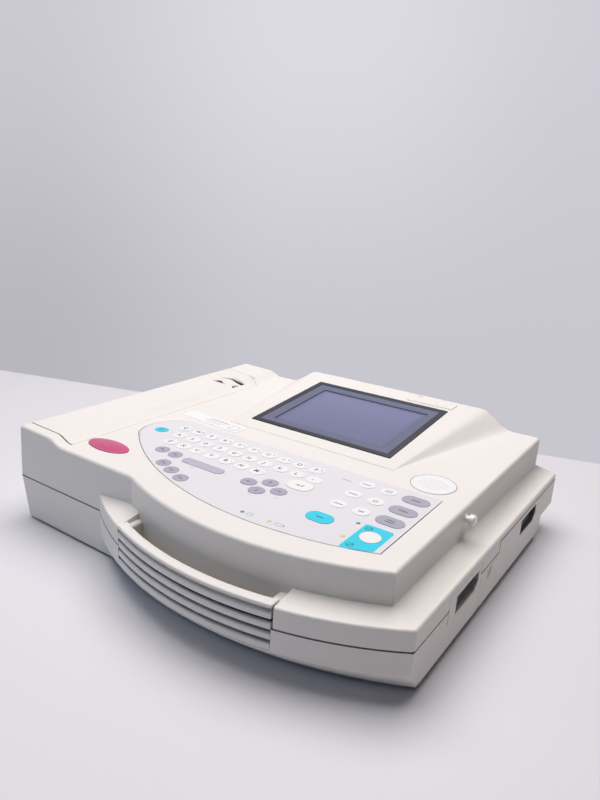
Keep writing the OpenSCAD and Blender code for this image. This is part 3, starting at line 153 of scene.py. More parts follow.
class StageProps(bpy.types.PropertyGroup):
    """Table, backdrop, lamps and camera."""

    table: colour_prop("Table", "#e2e0e5", "Pale table")
    wall: colour_prop("Wall", "#cccad2", "Pale lavender backdrop")
    top: number_prop("Top light", 31.1, "Power of the overhead light", unit="POWER")
    side: number_prop("Cool light", 3.6, "Power of the cool light at the front left", unit="POWER")
    sky: number_prop("Room light", 0.004, "Strength of the room's light")
    lens: number_prop("Lens", 29.19, "Focal length", unit="CAMERA", subtype="DISTANCE_CAMERA")


# ---- material workshop ----
def maths(operation, swapped=False):
    """A method of Wire that makes one Math node, with its own socket first or, if swapped, last."""

    def method(self, *others):
        terms = (*others, self) if swapped else (self, *others)
        return self.shop.node("ShaderNodeMath", {"operation": operation}, dict(enumerate(terms)))

    return method


class Wire:
    """A socket whose sums and products become Math nodes."""

    def __init__(self, shop, socket):
        self.shop, self.socket = shop, socket

    __add__, __radd__ = maths("ADD"), maths("ADD", True)
    __sub__, __rsub__ = maths("SUBTRACT"), maths("SUBTRACT", True)
    __truediv__, __rtruediv__ = maths("DIVIDE"), maths("DIVIDE", True)
    __mul__, __mod__, __abs__ = maths("MULTIPLY"), maths("FLOORED_MODULO"), maths("ABSOLUTE")
    __lt__, __gt__ = maths("LESS_THAN"), maths("GREATER_THAN")
    least, most, root = maths("MINIMUM"), maths("MAXIMUM"), maths("SQRT")

    def smooth(self, low, high):
        """0 below low, 1 above high and a soft step between."""
        return self.shop.node(
            "ShaderNodeMapRange",
            {"interpolation_type": "SMOOTHSTEP"},
            {"Value": self, "From Min": low, "From Max": high},
        )


class Shop:
    """Makes and joins the nodes of one tree."""

    def __init__(self, tree):
        self.tree = tree

    def feed(self, socket, value):
        """Links or sets a socket."""
        if isinstance(value, Wire):
            self.tree.links.new(value.socket, socket)
        else:
            socket.default_value = value

    def node(self, kind, settings=None, inputs=None, out=0):
        """A new node with its settings and inputs. Gives one of its outputs."""
        n = self.tree.nodes.new(kind)
        for key, value in (settings or {}).items():
            if key == "stops":
                while len(n.color_ramp.elements) < len(value):
                    n.color_ramp.elements.new(0.5)
                for stop, (place, colour) in zip(n.color_ramp.elements, value):
                    stop.position, stop.color = place, full(colour)
            else:
                setattr(n, key, value)
        for key, value in (inputs or {}).items():
            self.feed(n.inputs[key], value)
        return Wire(self, n.outputs[out])

    def place(self, scale=(1, 1, 1), shift=(0, 0, 0), turn=(0, 0, 0)):
        """Object coordinates, shifted, turned and stretched."""
        here = self.node("ShaderNodeTexCoord", out="Object")
        return self.node(
            "ShaderNodeMapping", None, {"Vector": here, "Scale": scale, "Location": shift, "Rotation": turn}
        )

    def axes(self, vector):
        """The three numbers of a vector."""
        x = self.node("ShaderNodeSeparateXYZ", None, {0: vector})
        return x, Wire(self, x.socket.node.outputs[1]), Wire(self, x.socket.node.outputs[2])

    def noise(self, per_mm, detail=2.0, where=None, stretch=(1, 1, 1)):
        """Soft noise with about per_mm features to the millimetre."""
        where = where or self.place(stretch)
        return self.node("ShaderNodeTexNoise", None, {"Vector": where, "Scale": per_mm * 1000, "Detail": detail})

    def blend(self, share, low, high):
        """From colour low to colour high."""
        low = low if isinstance(low, Wire) else full(low)
        high = high if isinstance(high, Wire) else full(high)
        return self.node("ShaderNodeMix", {"data_type": "RGBA"}, {0: share, 6: low, 7: high}, out=2)

    def bump(self, height, strength, depth_mm):
        """A normal raised by a height."""
        return self.node("ShaderNodeBump", None, {"Height": height, "Strength": strength, "Distance": depth_mm * MM})

    def direct(self):
        """1 for rays from the camera, from a gloss and through glass, which show the backdrop."""
        rays = self.node("ShaderNodeLightPath", out="Is Camera Ray")
        others = (Wire(self, rays.socket.node.outputs[name]) for name in ("Is Glossy Ray", "Is Transmission Ray"))
        return rays.most(next(others)).most(next(others))

    def output(self, share, first, second, name):
        """Ends the tree with a mix of two shaders."""
        both = self.node("ShaderNodeMixShader", None, {0: share, 1: first, 2: second})
        self.tree.links.new(both.socket, self.tree.nodes[name].inputs["Surface"])


class Finish(Shop):
    """One material, built node by node."""

    def __init__(self, name, **fixed):
        self.material = bpy.data.materials.new(name)
        self.material.use_nodes = True
        super().__init__(self.material.node_tree)
        self.shader = self.tree.nodes["Principled BSDF"]
        for socket, value in fixed.items():
            self.set(socket.replace("_", " ").title().replace("Ior", "IOR"), value)

    def set(self, socket, value):
        """Feeds one of the shader's sockets."""
        self.feed(self.shader.inputs[socket], value)
        return self


def shade(colour, by):
    """A colour made lighter or darker."""
    return tuple(min(1.0, c * by) for c in colour[:3])


def moulded(name, colour, rough=0.46, grain=3.0, depth=0.02, vary=0.025, gloss=0.0):
    """Moulded plastic: eroded grain, slow drift of tone, a few polished patches."""
    f = Finish(name, coat_roughness=0.12)
    slow = f.noise(0.012, 3)
    fine = f.noise(grain, 2)
    f.set("Base Color", f.blend(slow * 0.8 + fine * 0.2, shade(colour, 1 - vary), shade(colour, 1 + vary)))
    f.set("Roughness", slow.smooth(0.3, 0.7) * 0.07 + fine * 0.05 + (rough - 0.06))
    f.set("Coat Weight", gloss)
    return f.set("Normal", f.bump(fine, 0.5, depth)).material


def plastic(f, colour):
    """The case's grain and polish on f. Returns the tone."""
    slow = f.noise(0.012, 3)
    fine = f.noise(3.0, 2)
    f.set("Roughness", slow.smooth(0.3, 0.7) * 0.07 + fine * 0.05 + 0.4)
    f.set("Normal", f.bump(fine, 0.5, 0.02))
    return f.blend(slow * 0.8 + fine * 0.2, shade(colour, 0.975), shade(colour, 1.025))


def near(value, at, half):
    """1 on a line and 0 beyond its half width."""
    return 1 - abs(value - at).smooth(half * 0.7, half)


def between(value, low, high):
    """1 between two values and 0 outside."""
    return (value > low) * (value < high)


def pad_edge(x, y, half):
    """A line of painted shade round the recess of the keypad: the front arc, the rounded left end and the straight
    right end.
    """
    round_front = ((x - PAD_X) * (x - PAD_X) + (y - PAD_Y) * (y - PAD_Y)).root()
    left = ((x - LEFT_X) * (x - LEFT_X) + (y - LEFT_Y) * (y - LEFT_Y)).root()
    elsewhere = 1 - (x < LEFT_X) * (y > LEFT_Y - 0.018)
    inside = (PAD_R - round_front).least(LEFT_R - left + elsewhere).least(PAD_RIGHT - x)
    return near(inside, 0, half)


def case_moulding(name, colour, gap):
    """The case's plastic, with painted shade along the seams between mouldings and inside the socket recesses."""
    f = Finish(name)
    x, y, z = f.axes(f.place())
    side = x > SIDE_X
    raised = y > RAISED_Y
    # painted shade: dark lines where mouldings meet, standing in for the shade inside their seams
    lines = near(z, SEAM_Z, gap) * (1 - side * (between(y, *PANEL_Y) + raised))
    lines += near(y, DOOR_FRONT, gap) * (x < DOOR_X) * (z > 0.06)
    lines += side * near(z, RAISED_Z, gap) * raised
    lines += side * near(y, RAISED_Y, gap) * between(z, SEAM_Z, RAISED_Z)
    lines += side * near(y, PANEL_Y[1], gap * 0.7) * between(z, SEAM_Z, PANEL_TOP)
    lines += near(x, TIER_END, gap * 1.2) * (y < -0.14) * between(z, SEAM_Z, 0.0548)
    # painted shade along the edge of the keypad's recess
    lines += pad_edge(x, y, gap * 0.6) * (z > UPPER_TIER) * (y < PAD_REAR - 0.003)
    painted_recess_shade = 0
    # painted shade inside the two socket recesses, full in the rear one
    for at_y, at_z, dark in RECESSES:
        painted_recess_shade += (
            between(x, *RECESS_X) * (abs(y - at_y) < RECESS_HALF_W) * (abs(z - at_z) < RECESS_HALF_H) * dark
        )
    tone = plastic(f, colour)
    tone = f.blend(painted_recess_shade, tone, shade(colour, 0.14))
    f.set("Base Color", f.blend(lines.least(1.0), tone, shade(colour, 0.06)))
    return f.material


def grooved_moulding(name, colour):
    """The grip's plastic, with painted shade inside the grooves round its outside."""
    f = Finish(name)
    x, y, z = f.axes(f.place())
    across, along = x - GRIP_X, y - GRIP_Y
    reach = (across * across + along * along).root()
    deep = (1 - reach.smooth(GRIP_R - 0.001, GRIP_R - 0.0003)) * (reach > GRIP_R - 0.0045)
    bands = (GROOVE_TOP - z) / GROOVE_PITCH
    inside = ((bands % 1.0) < GROOVE_SHARE) * (bands > 0) * (bands < 3 + GROOVE_SHARE)
    tone = plastic(f, colour)
    # painted shade: the inside of each groove is darkened
    f.set("Base Color", f.blend(inside * deep, tone, shade(colour, 0.16)))
    return f.material


def metal(name, colour, rough=0.3, brushed=(1, 60, 60), vary=0.06):
    """Bare metal with fine lines along the way it was worked."""
    f = Finish(name, metallic=1.0)
    lines = f.noise(0.15, 4, stretch=brushed)
    stain = f.noise(0.05, 3)
    f.set("Base Color", f.blend(lines * 0.6 + stain * 0.4, shade(colour, 1 - vary), shade(colour, 1 + vary)))
    f.set("Roughness", lines * 0.12 + stain * 0.08 + (rough - 0.1))
    return f.set("Normal", f.bump(lines, 0.25, 0.01)).material


def soft_rubber(name, colour):
    """Matt rubber with a dusty bloom."""
    f = Finish(name)
    bloom = f.noise(0.25, 4)
    fine = f.noise(4.0, 2)
    f.set("Base Color", f.blend(bloom.smooth(0.35, 0.75), colour, shade([c + 0.03 for c in colour], 1.3)))
    f.set("Roughness", bloom * 0.15 + 0.68)
    return f.set("Normal", f.bump(fine, 0.6, 0.04)).material


def printed(name, colour, rough=0.42, weave=2.2):
    """Ink on matt polyester: an even tone over a fine emboss."""
    f = Finish(name, specular_ior_level=0.4)
    fine = f.noise(weave, 3)
    slow = f.noise(0.02, 2)
    f.set("Base Color", f.blend(slow * 0.7 + fine * 0.3, shade(colour, 0.982), shade(colour, 1.018)))
    f.set("Roughness", fine * 0.1 + (rough - 0.05))
    return f.set("Normal", f.bump(fine, 0.35, 0.008)).material


def circuit(name, colour):
    """Solder mask over copper tracks, with tinned pads."""
    f = Finish(name, coat_roughness=0.2)
    f.set("Coat Weight", 0.4)
    grid = f.place((1, 1, 0.02))
    cells = f.node("ShaderNodeTexVoronoi", {"distance": "MANHATTAN", "feature": "F1"}, {"Vector": grid, "Scale": 210.0})
    rings = (cells * 9.0) % 1.0
    track = rings.smooth(0.42, 0.5) - rings.smooth(0.78, 0.86)
    pads = f.node("ShaderNodeTexVoronoi", None, {"Vector": grid, "Scale": 330.0})
    pad = 1 - pads.smooth(0.1, 0.16)
    green = f.blend(track, colour, shade([c + 0.02 for c in colour], 1.7))
    f.set("Base Color", f.blend(pad, green, tint("#c9c7bd")))
    f.set("Metallic", pad * 0.9)
    f.set("Roughness", 0.5 - pad * 0.2)
    return f.set("Normal", f.bump(track + pad, 0.5, 0.05)).material


def ribbon(name, colour, dark):
    """Flat cable: round cores side by side."""
    f = Finish(name)
    x, y, _ = f.axes(f.place())
    core = abs(((x + y) * 787.0) % 1.0 - 0.5) * 2.0
    # painted shade: darker in the valleys between the cores
    f.set("Base Color", f.blend(core.smooth(0.55, 1.0), colour, dark))
    f.set("Roughness", core * 0.1 + 0.4)
    return f.set("Normal", f.bump(1 - core, 0.8, 0.25)).material


def laminated(name, colour, pitch=0.5):
    """Stacked core sheets under a thin varnish."""
    f = Finish(name, metallic=0.75)
    _, _, z = f.axes(f.place())
    sheet = abs((z * (1000 / pitch)) % 1.0 - 0.5) * 2.0
    stain = f.noise(0.2, 4)
    f.set("Base Color", f.blend(sheet * 0.5 + stain * 0.5, shade(colour, 0.7), shade(colour, 1.2)))
    f.set("Roughness", stain * 0.2 + 0.42)
    return f.set("Normal", f.bump(sheet, 0.6, 0.1)).material


def shrink_wrap(name, colour):
    """Heat-shrunk sleeve with small puckers."""
    f = Finish(name, coat_roughness=0.1)
    pucker = f.noise(0.3, 3, stretch=(1, 0.3, 1))
    f.set("Base Color", f.blend(pucker, shade(colour, 0.85), shade(colour, 1.15)))
    f.set("Roughness", pucker * 0.2 + 0.25)
    f.set("Coat Weight", 0.5)
    return f.set("Normal", f.bump(pucker, 0.5, 0.4)).material


def winding_cell(name, colour):
    """Glazed ceramic with a dark row of heater dots."""
    f = Finish(name, coat_roughness=0.08)
    _, _, z = f.axes(f.place())
    row = 1 - abs(z - 0.0596).smooth(0.0006, 0.001)
    fine = f.noise(1.5, 3)
    f.set("Base Color", f.blend(row, colour, tint("#3b3230")))
    f.set("Roughness", fine * 0.1 + 0.18)
    f.set("Coat Weight", 0.6)
    return f.set("Normal", f.bump(fine, 0.2, 0.01)).material


def lamp_lens(name, green, amber):
    """Diffusing lenses: green or amber by their place on the foil."""
    f = Finish(name, coat_roughness=0.05)
    x, y, _ = f.axes(f.place())
    is_green = ((x < 0.066) + (y > -0.0925)).least(1.0)
    milk = f.noise(1.0, 2)
    f.set("Base Color", f.blend(is_green, amber, green))
    f.set("Roughness", milk * 0.1 + 0.2)
    f.set("Coat Weight", 0.5)
    return f.set("Normal", f.bump(milk, 0.2, 0.02)).material


PICTURE = (0.0585, 0.0445)  # half the picture's width and depth before the offset


def screen_glass(name, props):
    """The idle picture behind hard glass: blue violet, darker where the frame shades it."""
    f = Finish(name, ior=1.5, coat_roughness=0.04)
    back = WINDOW.inverted().to_translation()
    turn = WINDOW.inverted().to_euler()
    x, y, _ = f.axes(f.place(shift=back, turn=turn))
    half_w, half_d = PICTURE
    edge = (x + half_w).least(x * -1 + half_w + props.offset)
    edge = edge.least(y * -1 + half_d).least(y + half_d + props.offset)
    top = y.smooth(-0.045, 0.045)
    haze = f.noise(0.02, 2)
    field = f.blend(top * 0.6 + haze * 0.3, shade(props.picture, 0.86), shade(props.picture, 1.22))
    f.set("Base Color", f.blend(edge.smooth(-0.001, 0.009), shade(props.picture, 0.62), field))
    f.set("Roughness", haze * 0.08 + 0.14)
    f.set("Coat Weight", 0.5)
    dust = f.noise(1.2, 2)
    return f.set("Normal", f.bump(dust, 0.03, 0.01)).material


def enamel(name, colour):
    """Domed enamel badge."""
    f = Finish(name, coat_roughness=0.06)
    slow = f.noise(0.08, 2)
    f.set("Base Color", f.blend(slow, shade(colour, 0.94), shade(colour, 1.06)))
    f.set("Roughness", slow * 0.08 + 0.28)
    f.set("Coat Weight", 0.5)
    return f.set("Normal", f.bump(f.noise(1.5, 2), 0.1, 0.01)).material


def make_finishes():
    """Every finish by the name of its slot."""
    s, p, d, b = (getattr(bpy.context.scene, n) for n in ("ecg_shell", "ecg_panel", "ecg_screen", "ecg_labels"))
    grey = tint("#8c8c90")
    return {
        "shell": case_moulding("Warm white moulding", s.colour, s.gap),
        "grip": grooved_moulding("Grip moulding", s.colour),
        "rubber": soft_rubber("Black rubber", tint("#26262a")),
        "steel": metal("Bright steel", tint("#b9babd"), 0.28),
        "sheet_steel": metal("Zinc sheet", tint("#a9adb2"), 0.4, (60, 1, 60)),
        "foil": printed("Keypad foil", p.foil),
        "cyan_print": printed("Cyan print", p.cyan, 0.38),
        "key_white": printed("White key", p.white_key, 0.4),
        "key_grey": printed("Grey key", p.grey_key, 0.4),
        "space": printed("Space key", shade(p.grey_key, 1.2), 0.4),
        "key_cyan": printed("Cyan key", p.cyan, 0.38),
        "lens": lamp_lens("Lamp lenses", tint("#128a55"), tint("#e6d04a")),
        "board": circuit("Circuit board", tint("#1d5a38")),
        "bezel": moulded("Slate frame", d.frame, 0.62, 4.0, 0.01),
        "window_glass": screen_glass("Screen glass", d),
        "lcd": metal("Screen can", tint("#8f949c"), 0.35, (1, 30, 30)),
        "ribbon": ribbon("Ribbon cable", tint("#9d9ea4"), tint("#5d5f66")),
        "core_iron": laminated("Core sheets", tint("#5f5c5a")),
        "battery_wrap": shrink_wrap("Battery sleeve", tint("#2f4f8f")),
        "socket_metal": metal("Socket shell", tint("#7f7e80"), 0.4, (30, 1, 30)),
        "black_plastic": moulded("Black moulding", tint("#2a2a2c"), 0.5, 2.5, 0.03),
        "stud_plastic": moulded("Glossy white stud", tint("#efedea"), 0.2, 1.2, 0.006, 0.01, 0.6),
        "button_grey": moulded("Grey button", tint("#8d8b8a"), 0.4, 3.0, 0.02),
        "ceramic_head": winding_cell("Glazed print head", tint("#d9d2c4")),
        "hub_plastic": moulded("Natural nylon", tint("#dcd9cf"), 0.42, 2.0, 0.02),
        "bushing_brass": metal("Sintered bronze", tint("#b58a4a"), 0.42, (8, 8, 8)),
        "gear_plastic": moulded("Acetal gear", tint("#ded9cd"), 0.36, 2.4, 0.01),
        "pinion_brass": metal("Brass pinion", tint("#c79b4e"), 0.25, (1, 20, 1)),
        "motor_case": metal("Motor case", grey, 0.36, (30, 1, 30)),
        "badge_magenta": enamel("Magenta badge", b.magenta),
        "label_white": printed("White label", b.paper, 0.36),
        "nameplate_metal": moulded("Satin plate", shade(s.colour, 1.02), 0.3, 4.0, 0.006, 0.01),
        "ink": printed("Dark ink", p.ink, 0.4),
        "pale_ink": printed("Pale ink", tint("#9a98a6"), 0.42),
        "line_ink": printed("Line ink", b.line, 0.42),
        "blush": printed("Badge line", tint("#dd8fb3"), 0.35),
        "mask": moulded("Inner screen mask", d.inner, 0.6, 4.0, 0.006),
    }


FINISH = {}


# ---- shaping helpers ----
def verts_in(geom):
    """The corners among some bmesh elements."""
    return [v for v in geom if isinstance(v, bmesh.types.BMVert)]


def added(name, data):
    """A new object in the scene."""
    thing = bpy.data.objects.new(name, data)
    bpy.context.scene.collection.objects.link(thing)
    return thing


def new_piece(name, bm, finish, body="case", more=(), smooth=30, move=None):
    """Makes a piece of a bmesh, with its finish, its place in its mesh and the body it rides on."""
    bmesh.ops.recalc_face_normals(bm, faces=bm.faces)
    return keep_piece(name, bm, finish, body, more, smooth, move)


def keep_piece(name, bm, finish, body="case", more=(), smooth=30, move=None):
    """As new_piece, with the faces turned the way they are."""
    if move is not None:
        bmesh.ops.transform(bm, matrix=move, verts=bm.verts)
    mesh = bpy.data.meshes.new(name)
    bm.to_mesh(mesh)
    bm.free()
    piece = added(name, mesh)
    for f in (finish, *more):
        mesh.materials.append(FINISH[f])
    for face in mesh.polygons:
        face.use_smooth = True
    mesh.set_sharp_from_angle(angle=math.radians(smooth))
    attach(piece, body)
    return piece


def bevel(bm, edges, width, steps=2):
    """Rounds some edges."""
    bmesh.ops.bevel(
        bm, geom=list(edges), offset=width, offset_type="OFFSET", segments=steps, profile=0.5,
        affect="EDGES", clamp_overlap=True, material=-1,
    )


def bar(bm, x, y, w, d, low, high, turn=0.0):
    """A flat bar of ink centred on x, y."""
    where = Matrix.Translation((x, y, (low + high) / 2)) @ Matrix.Rotation(turn, 4, "Z")
    bmesh.ops.create_cube(bm, size=1, matrix=where @ Matrix.Diagonal((w, d, high - low, 1)))


def mark(bm, x, y, w, d, low, high, turn=0.0):
    """A bar with its place and size in millimetres."""
    bar(bm, x * MM, y * MM, w * MM, d * MM, low, high, turn)


def box(bm, x, y, across, along, w, d, line, low, high):
    """Four bars w and d long, as far from x, y as across and along say, in millimetres."""
    for dx, dy, long, wide in ((0, along, w, line), (0, -along, w, line), (-across, 0, line, d), (across, 0, line, d)):
        mark(bm, x + dx, y + dy, long, wide, low, high)


def outline(bm, x, y, w, d, line, low, high, steps=16):
    """A round or oval line made of short bars. All but low and high are in millimetres."""
    long = math.pi * max(w, d) / steps * 1.08
    for k in range(steps):
        turn = math.tau * (k + 0.5) / steps
        ahead = math.atan2(d * math.cos(turn), -w * math.sin(turn))
        at = x + (w - line) / 2 * math.cos(turn), y + (d - line) / 2 * math.sin(turn)
        mark(bm, *at, long, line, low, high, ahead)


def letters(bm, words, low, high):
    """Letters as flat solids. words holds (text, x, y, height)."""
    for text, x, y, height in words:
        curve = bpy.data.curves.new("letter", "FONT")
        curve.body, curve.size, curve.extrude = text, height * 1.4, 0
        curve.align_x, curve.align_y = "CENTER", "CENTER"
        curve.resolution_u = 2
        curve.offset = height * 0.022
        thing = added("letter", curve)
        flat = bpy.data.meshes.new_from_object(thing.evaluated_get(bpy.context.evaluated_depsgraph_get()))
        flat.transform(Matrix.Translation((x, y, low)))
        old = set(bm.faces)
        bm.from_mesh(flat)
        fresh = [f for f in bm.faces if f not in old]
        top = bmesh.ops.extrude_face_region(bm, geom=fresh)["geom"]
        bmesh.ops.translate(bm, vec=(0, 0, high - low), verts=verts_in(top))
        bpy.data.objects.remove(thing)
        bpy.data.curves.remove(curve)
        bpy.data.meshes.remove(flat)


# ---- mouldings with rounded edges ----
SHARP_ENOUGH = 24  # degrees between two faces from which their edge is rounded
NUDGE, SHORTEST = 0.0004, 0.004  # how far a probe starts off an edge, and the shortest upright corner
LEAST = 0.0003  # a radius that needs no room of its own
UPWARD, UPRIGHT = 0.7, 0.4  # the normal's height from which a face looks up, and up to which it stands upright


def edge_radius(edge, tree, rules):
    """The radius wanted at one outside edge, from how its two faces lie."""
    if len(edge.link_faces) != 2:
        return 0
    a, b = (f.normal for f in edge.link_faces)
    middle = (edge.verts[0].co + edge.verts[1].co) / 2
    if not edge.is_convex or edge.calc_face_angle() < math.radians(SHARP_ENOUGH):
        return 0
    out = (a + b).normalized()
    if tree.ray_cast(middle + out * NUDGE, out)[0] is not None:
        return 0
    high, low = (a, b) if a.z > b.z else (b, a)
    side = min((a, b), key=lambda n: abs(n.z))
    free = tree.ray_cast(middle + out * NUDGE, side)[0] is None
    if high.z > UPWARD and abs(side.z) < UPRIGHT:
        return rules["top"](middle) if free else rules["small"]
    if low.z < -UPWARD and abs(side.z) < UPRIGHT:
        return rules["bottom"] if free else rules["small"]
    if abs(a.z) < UPRIGHT and abs(b.z) < UPRIGHT and edge.calc_length() > SHORTEST and free:
        return rules["corner"]
    return rules.get("other", rules["small"])


def width_from(loop, share, reach):
    """How far the surface runs inward from a point on one of its edges before it turns."""
    start, ahead = loop.vert.co, loop.link_loop_next.vert.co
    at, face, went = start.lerp(ahead, share), loop.face, 0.0
    way = face.normal.cross(ahead - start).normalized()
    for step in range(8):
        best, hit = None, None
        for side in face.loops:
            if side is loop:
                continue
            a, b = side.vert.co - at, side.link_loop_next.vert.co - at
            across = face.normal.cross(way)
            u, v = a.dot(across), b.dot(across)
            if u * v > 0 or abs(u - v) < 1e-12:
                continue
            run = a.lerp(b, u / (u - v)).dot(way)
            if run > 1e-7 and (best is None or run < best):
                best, hit = run, side
        if best is None:
            return reach, True
        went += best
        edge = hit.edge
        if went > reach or len(edge.link_faces) != 2:
            return min(went, reach), True
        if edge.calc_face_angle() > math.radians(12):
            return went, edge.is_convex
        if step == 0 and best < 0.5 * reach:
            return best, False
        at = at + way * best
        loop = next(l for l in edge.link_loops if l.face is not face)
        face = loop.face
        way = (way - face.normal * way.dot(face.normal)).normalized()
    return went, True


def slim_facets(bm):
    """The far corners of the slivers beside upright corner edges, each with the corner it joins."""
    joins = {}
    for edge in bm.edges:
        a, b = edge.verts
        if len(edge.link_faces) == 2 and edge.is_convex and edge.calc_face_angle() > math.radians(SHARP_ENOUGH):
            if abs(b.co.z - a.co.z) > max(SHORTEST, 0.95 * edge.calc_length()):
                for vert in edge.verts:
                    for side in vert.link_edges:
                        if side is not edge and side.calc_length() < 0.0006:
                            joins[side.other_vert(vert)] = vert
    return {vert: goal for vert, goal in joins.items() if goal not in joins}


def fitted(wanted):
    """The wanted radii, each held to the room its two faces give it and eased along the edge line."""
    radii = {}
    for edge, radius in wanted.items():
        for loop in edge.link_loops if radius > LEAST else ():
            for share in (0.12, 0.5, 0.88):
                room, turns_down = width_from(loop, share, radius * 2.5)
                radius = min(radius, room * (0.45 if turns_down else 0.85))
        radii[edge] = radius
    line = [edge for edge, radius in radii.items() if radius > 0]
    for _ in range(6):
        for edge in line:
            for vert in edge.verts:
                here = (edge.other_vert(vert).co - vert.co).normalized()
                for near in vert.link_edges:
                    if near is edge or radii[near] <= 0:
                        continue
                    turn = here.angle(near.other_vert(vert).co - vert.co)
                    if turn > math.radians(120):
                        step = (edge.calc_length() + near.calc_length()) / 2
                        radii[edge] = min(radii[edge], radii[near] + 0.35 * step)
                        if 0.01 < math.pi - turn < math.radians(40):
                            radii[edge] = min(radii[edge], max(LEAST, 0.8 * step / (math.pi - turn)))
    return radii


def rounded_copy(name, node, body, rules, finish="shell"):
    """A copy of a moulding with its outside edges rounded."""
    bm = bmesh.new()
    bm.from_mesh(frame["nodes"][node].data)
    bmesh.ops.remove_doubles(bm, verts=bm.verts, dist=4e-5)
    bmesh.ops.weld_verts(bm, targetmap=slim_facets(bm))
    bmesh.ops.dissolve_limit(bm, angle_limit=math.radians(0.3), verts=bm.verts, edges=bm.edges)
    tree = BVHTree.FromBMesh(bm)
    widest = rules["widest"]
    weight = bm.edges.layers.float.new("bevel_weight_edge")
    wanted = {edge: edge_radius(edge, tree, rules) for edge in bm.edges}
    for edge, radius in fitted(wanted).items():
        edge[weight] = min(1.0, radius / widest)
    # edges that stay unrounded are sharp from a bend of this many degrees
    bend = 32
    crisp = [
        len(edge.link_faces) != 2 or edge[weight] == 0 and edge.calc_face_angle() > math.radians(bend)
        for edge in bm.edges
    ]
    piece = keep_piece(name, bm, finish, body, smooth=bend)
    kept = piece.data.attributes
    if kept.get("custom_normal"):
        kept.remove(kept["custom_normal"])
    sharp = kept.get("sharp_edge") or kept.new("sharp_edge", "BOOLEAN", "EDGE")
    sharp.data.foreach_set("value", crisp)
    soft = piece.modifiers.new("Rounded edges", "BEVEL")
    soft.limit_method, soft.width, soft.segments = "WEIGHT", widest, 4
    soft.use_clamp_overlap, soft.harden_normals = False, False
    soft.offset_type, soft.profile = "OFFSET", 0.5
    even = piece.modifiers.new("Flat faces stay flat", "WEIGHTED_NORMAL")
    even.mode, even.weight, even.keep_sharp = "FACE_AREA", 80, True
    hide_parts(node)


class ECG_OT_mouldings(bpy.types.Operator):
    """Rounds the outside edges of the case, the paper door and the carry grip"""

    bl_idname = "ecg.mouldings"
    bl_label = "Case Mouldings"

    def execute(self, context):
        s = context.scene.ecg_shell

        def top(at):
            """The radius along a top edge, from the height of the tier it is on."""
            return s.rim if at.z > UPPER_TIER else (s.ledge if at.z > LOWER_TIER else s.seam)

        rules = {"widest": s.rim, "small": s.seam, "top": top, "bottom": s.seam, "corner": s.corner}
        rounded_copy("upper_shell", "upper_housing", "case", rules)
        low = {**rules, "top": lambda at: s.seam, "bottom": s.keel, "other": s.keel}
        rounded_copy("lower_shell", "lower_housing", "case", low)
        door = {**rules, "small": 0.15 * MM, "corner": 0.15 * MM}
        rounded_copy("door_skin", "paper_door", "door", door)
        grip = {
            **rules, "widest": 2 * MM, "top": lambda at: 2 * MM,
            "bottom": 0.3 * MM, "corner": 0.5 * MM, "small": 0.2 * MM,
        }
        rounded_copy("grip_rail", "carry_grip", "case", grip, "grip")
        return {"FINISHED"}


# ---- the spring under the release button ----
SPRING_FOOT, SPRING_LONG, BUTTON_TRAVEL = 0.068103, 0.0086, 0.002


class ECG_OT_spring(bpy.types.Operator):
    """Copies the spring under the release button, a little shorter from its foot"""

    bl_idname = "ecg.spring"
    bl_label = "Button Spring"

    def execute(self, context):
        bm = bmesh.new()
        bm.from_mesh(frame["nodes"]["button_spring"].data)
        bmesh.ops.remove_doubles(bm, verts=bm.verts, dist=2e-5)
        foot = Vector((0, 0, SPRING_FOOT))
        bmesh.ops.translate(bm, vec=-foot, verts=bm.verts)
        # just clear of the button's flange
        bmesh.ops.scale(bm, vec=(1, 1, 0.985), verts=bm.verts)
        coil = keep_piece("coil_spring", bm, "steel", "door", smooth=40, move=Matrix.Translation(foot))
        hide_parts("button_spring")
        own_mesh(coil)
        return {"FINISHED"}


# ---- finishes of the parts that keep their shape ----
class ECG_OT_finishes(bpy.types.Operator):
    """Gives every part its own finish"""

    bl_idname = "ecg.finishes"
    bl_label = "Finishes"

    def execute(self, context):
        FINISH.update(make_finishes())
        for part in frame["record"]["subparts"]:
            mesh = frame["nodes"][part["node"]].data
            mesh.materials.clear()
            mesh.materials.append(FINISH["space" if part["node"] == "space_key" else part["material_slot"]])
        return {"FINISHED"}


# ---- key legends ----
LETTER_ROWS = (("QWERTYUIOP", -90.5, 104), ("ASDFGHJKL-", -82, 87.2), ("ZXCVBNM", -77, 71))
KEY_PITCH = 16.2
EDIT_KEYS = ((-69, 54), (-53, 53), (-48, 35), (-33, 29), (-17, 23))
ARROWS = (
    ("arrow_left", 27, 52, 180), ("arrow_up", 41, 61, 90),
    ("arrow_down", 41, 44, -90), ("arrow_right", 55, 53, 0),
)
MODES = (("mode_key_a", 142, 106), ("mode_key_b", 142, 85), ("mode_key_c", 142, 65))
FUNCTION_X, FUNCTION_Y = (100, 119), (107, 86, 65)
POWER_AT = (-105, 87)
KEY_TOP = 0.3


def arrow(bm, x, y, size, low, high, degrees):
    """A small arrow: a shaft and a three-sided head. Place and size are in millimetres."""
    size *= MM
    way = Matrix.Translation((x * MM, y * MM, (low + high) / 2)) @ Matrix.Rotation(math.radians(degrees), 4, "Z")
    shaft = Matrix.Translation((-0.25 * size, 0, 0)) @ Matrix.Diagonal((size, 0.16 * size, high - low, 1))
    bmesh.ops.create_cube(bm, size=1, matrix=way @ shaft)
    bmesh.ops.create_cone(
        bm, cap_ends=True, segments=3, radius1=0.36 * size, radius2=0.36 * size, depth=high - low,
        matrix=way @ Matrix.Translation((0.4 * size, 0, 0)) @ Matrix.Rotation(-math.pi / 2, 4, "Z"),
    )


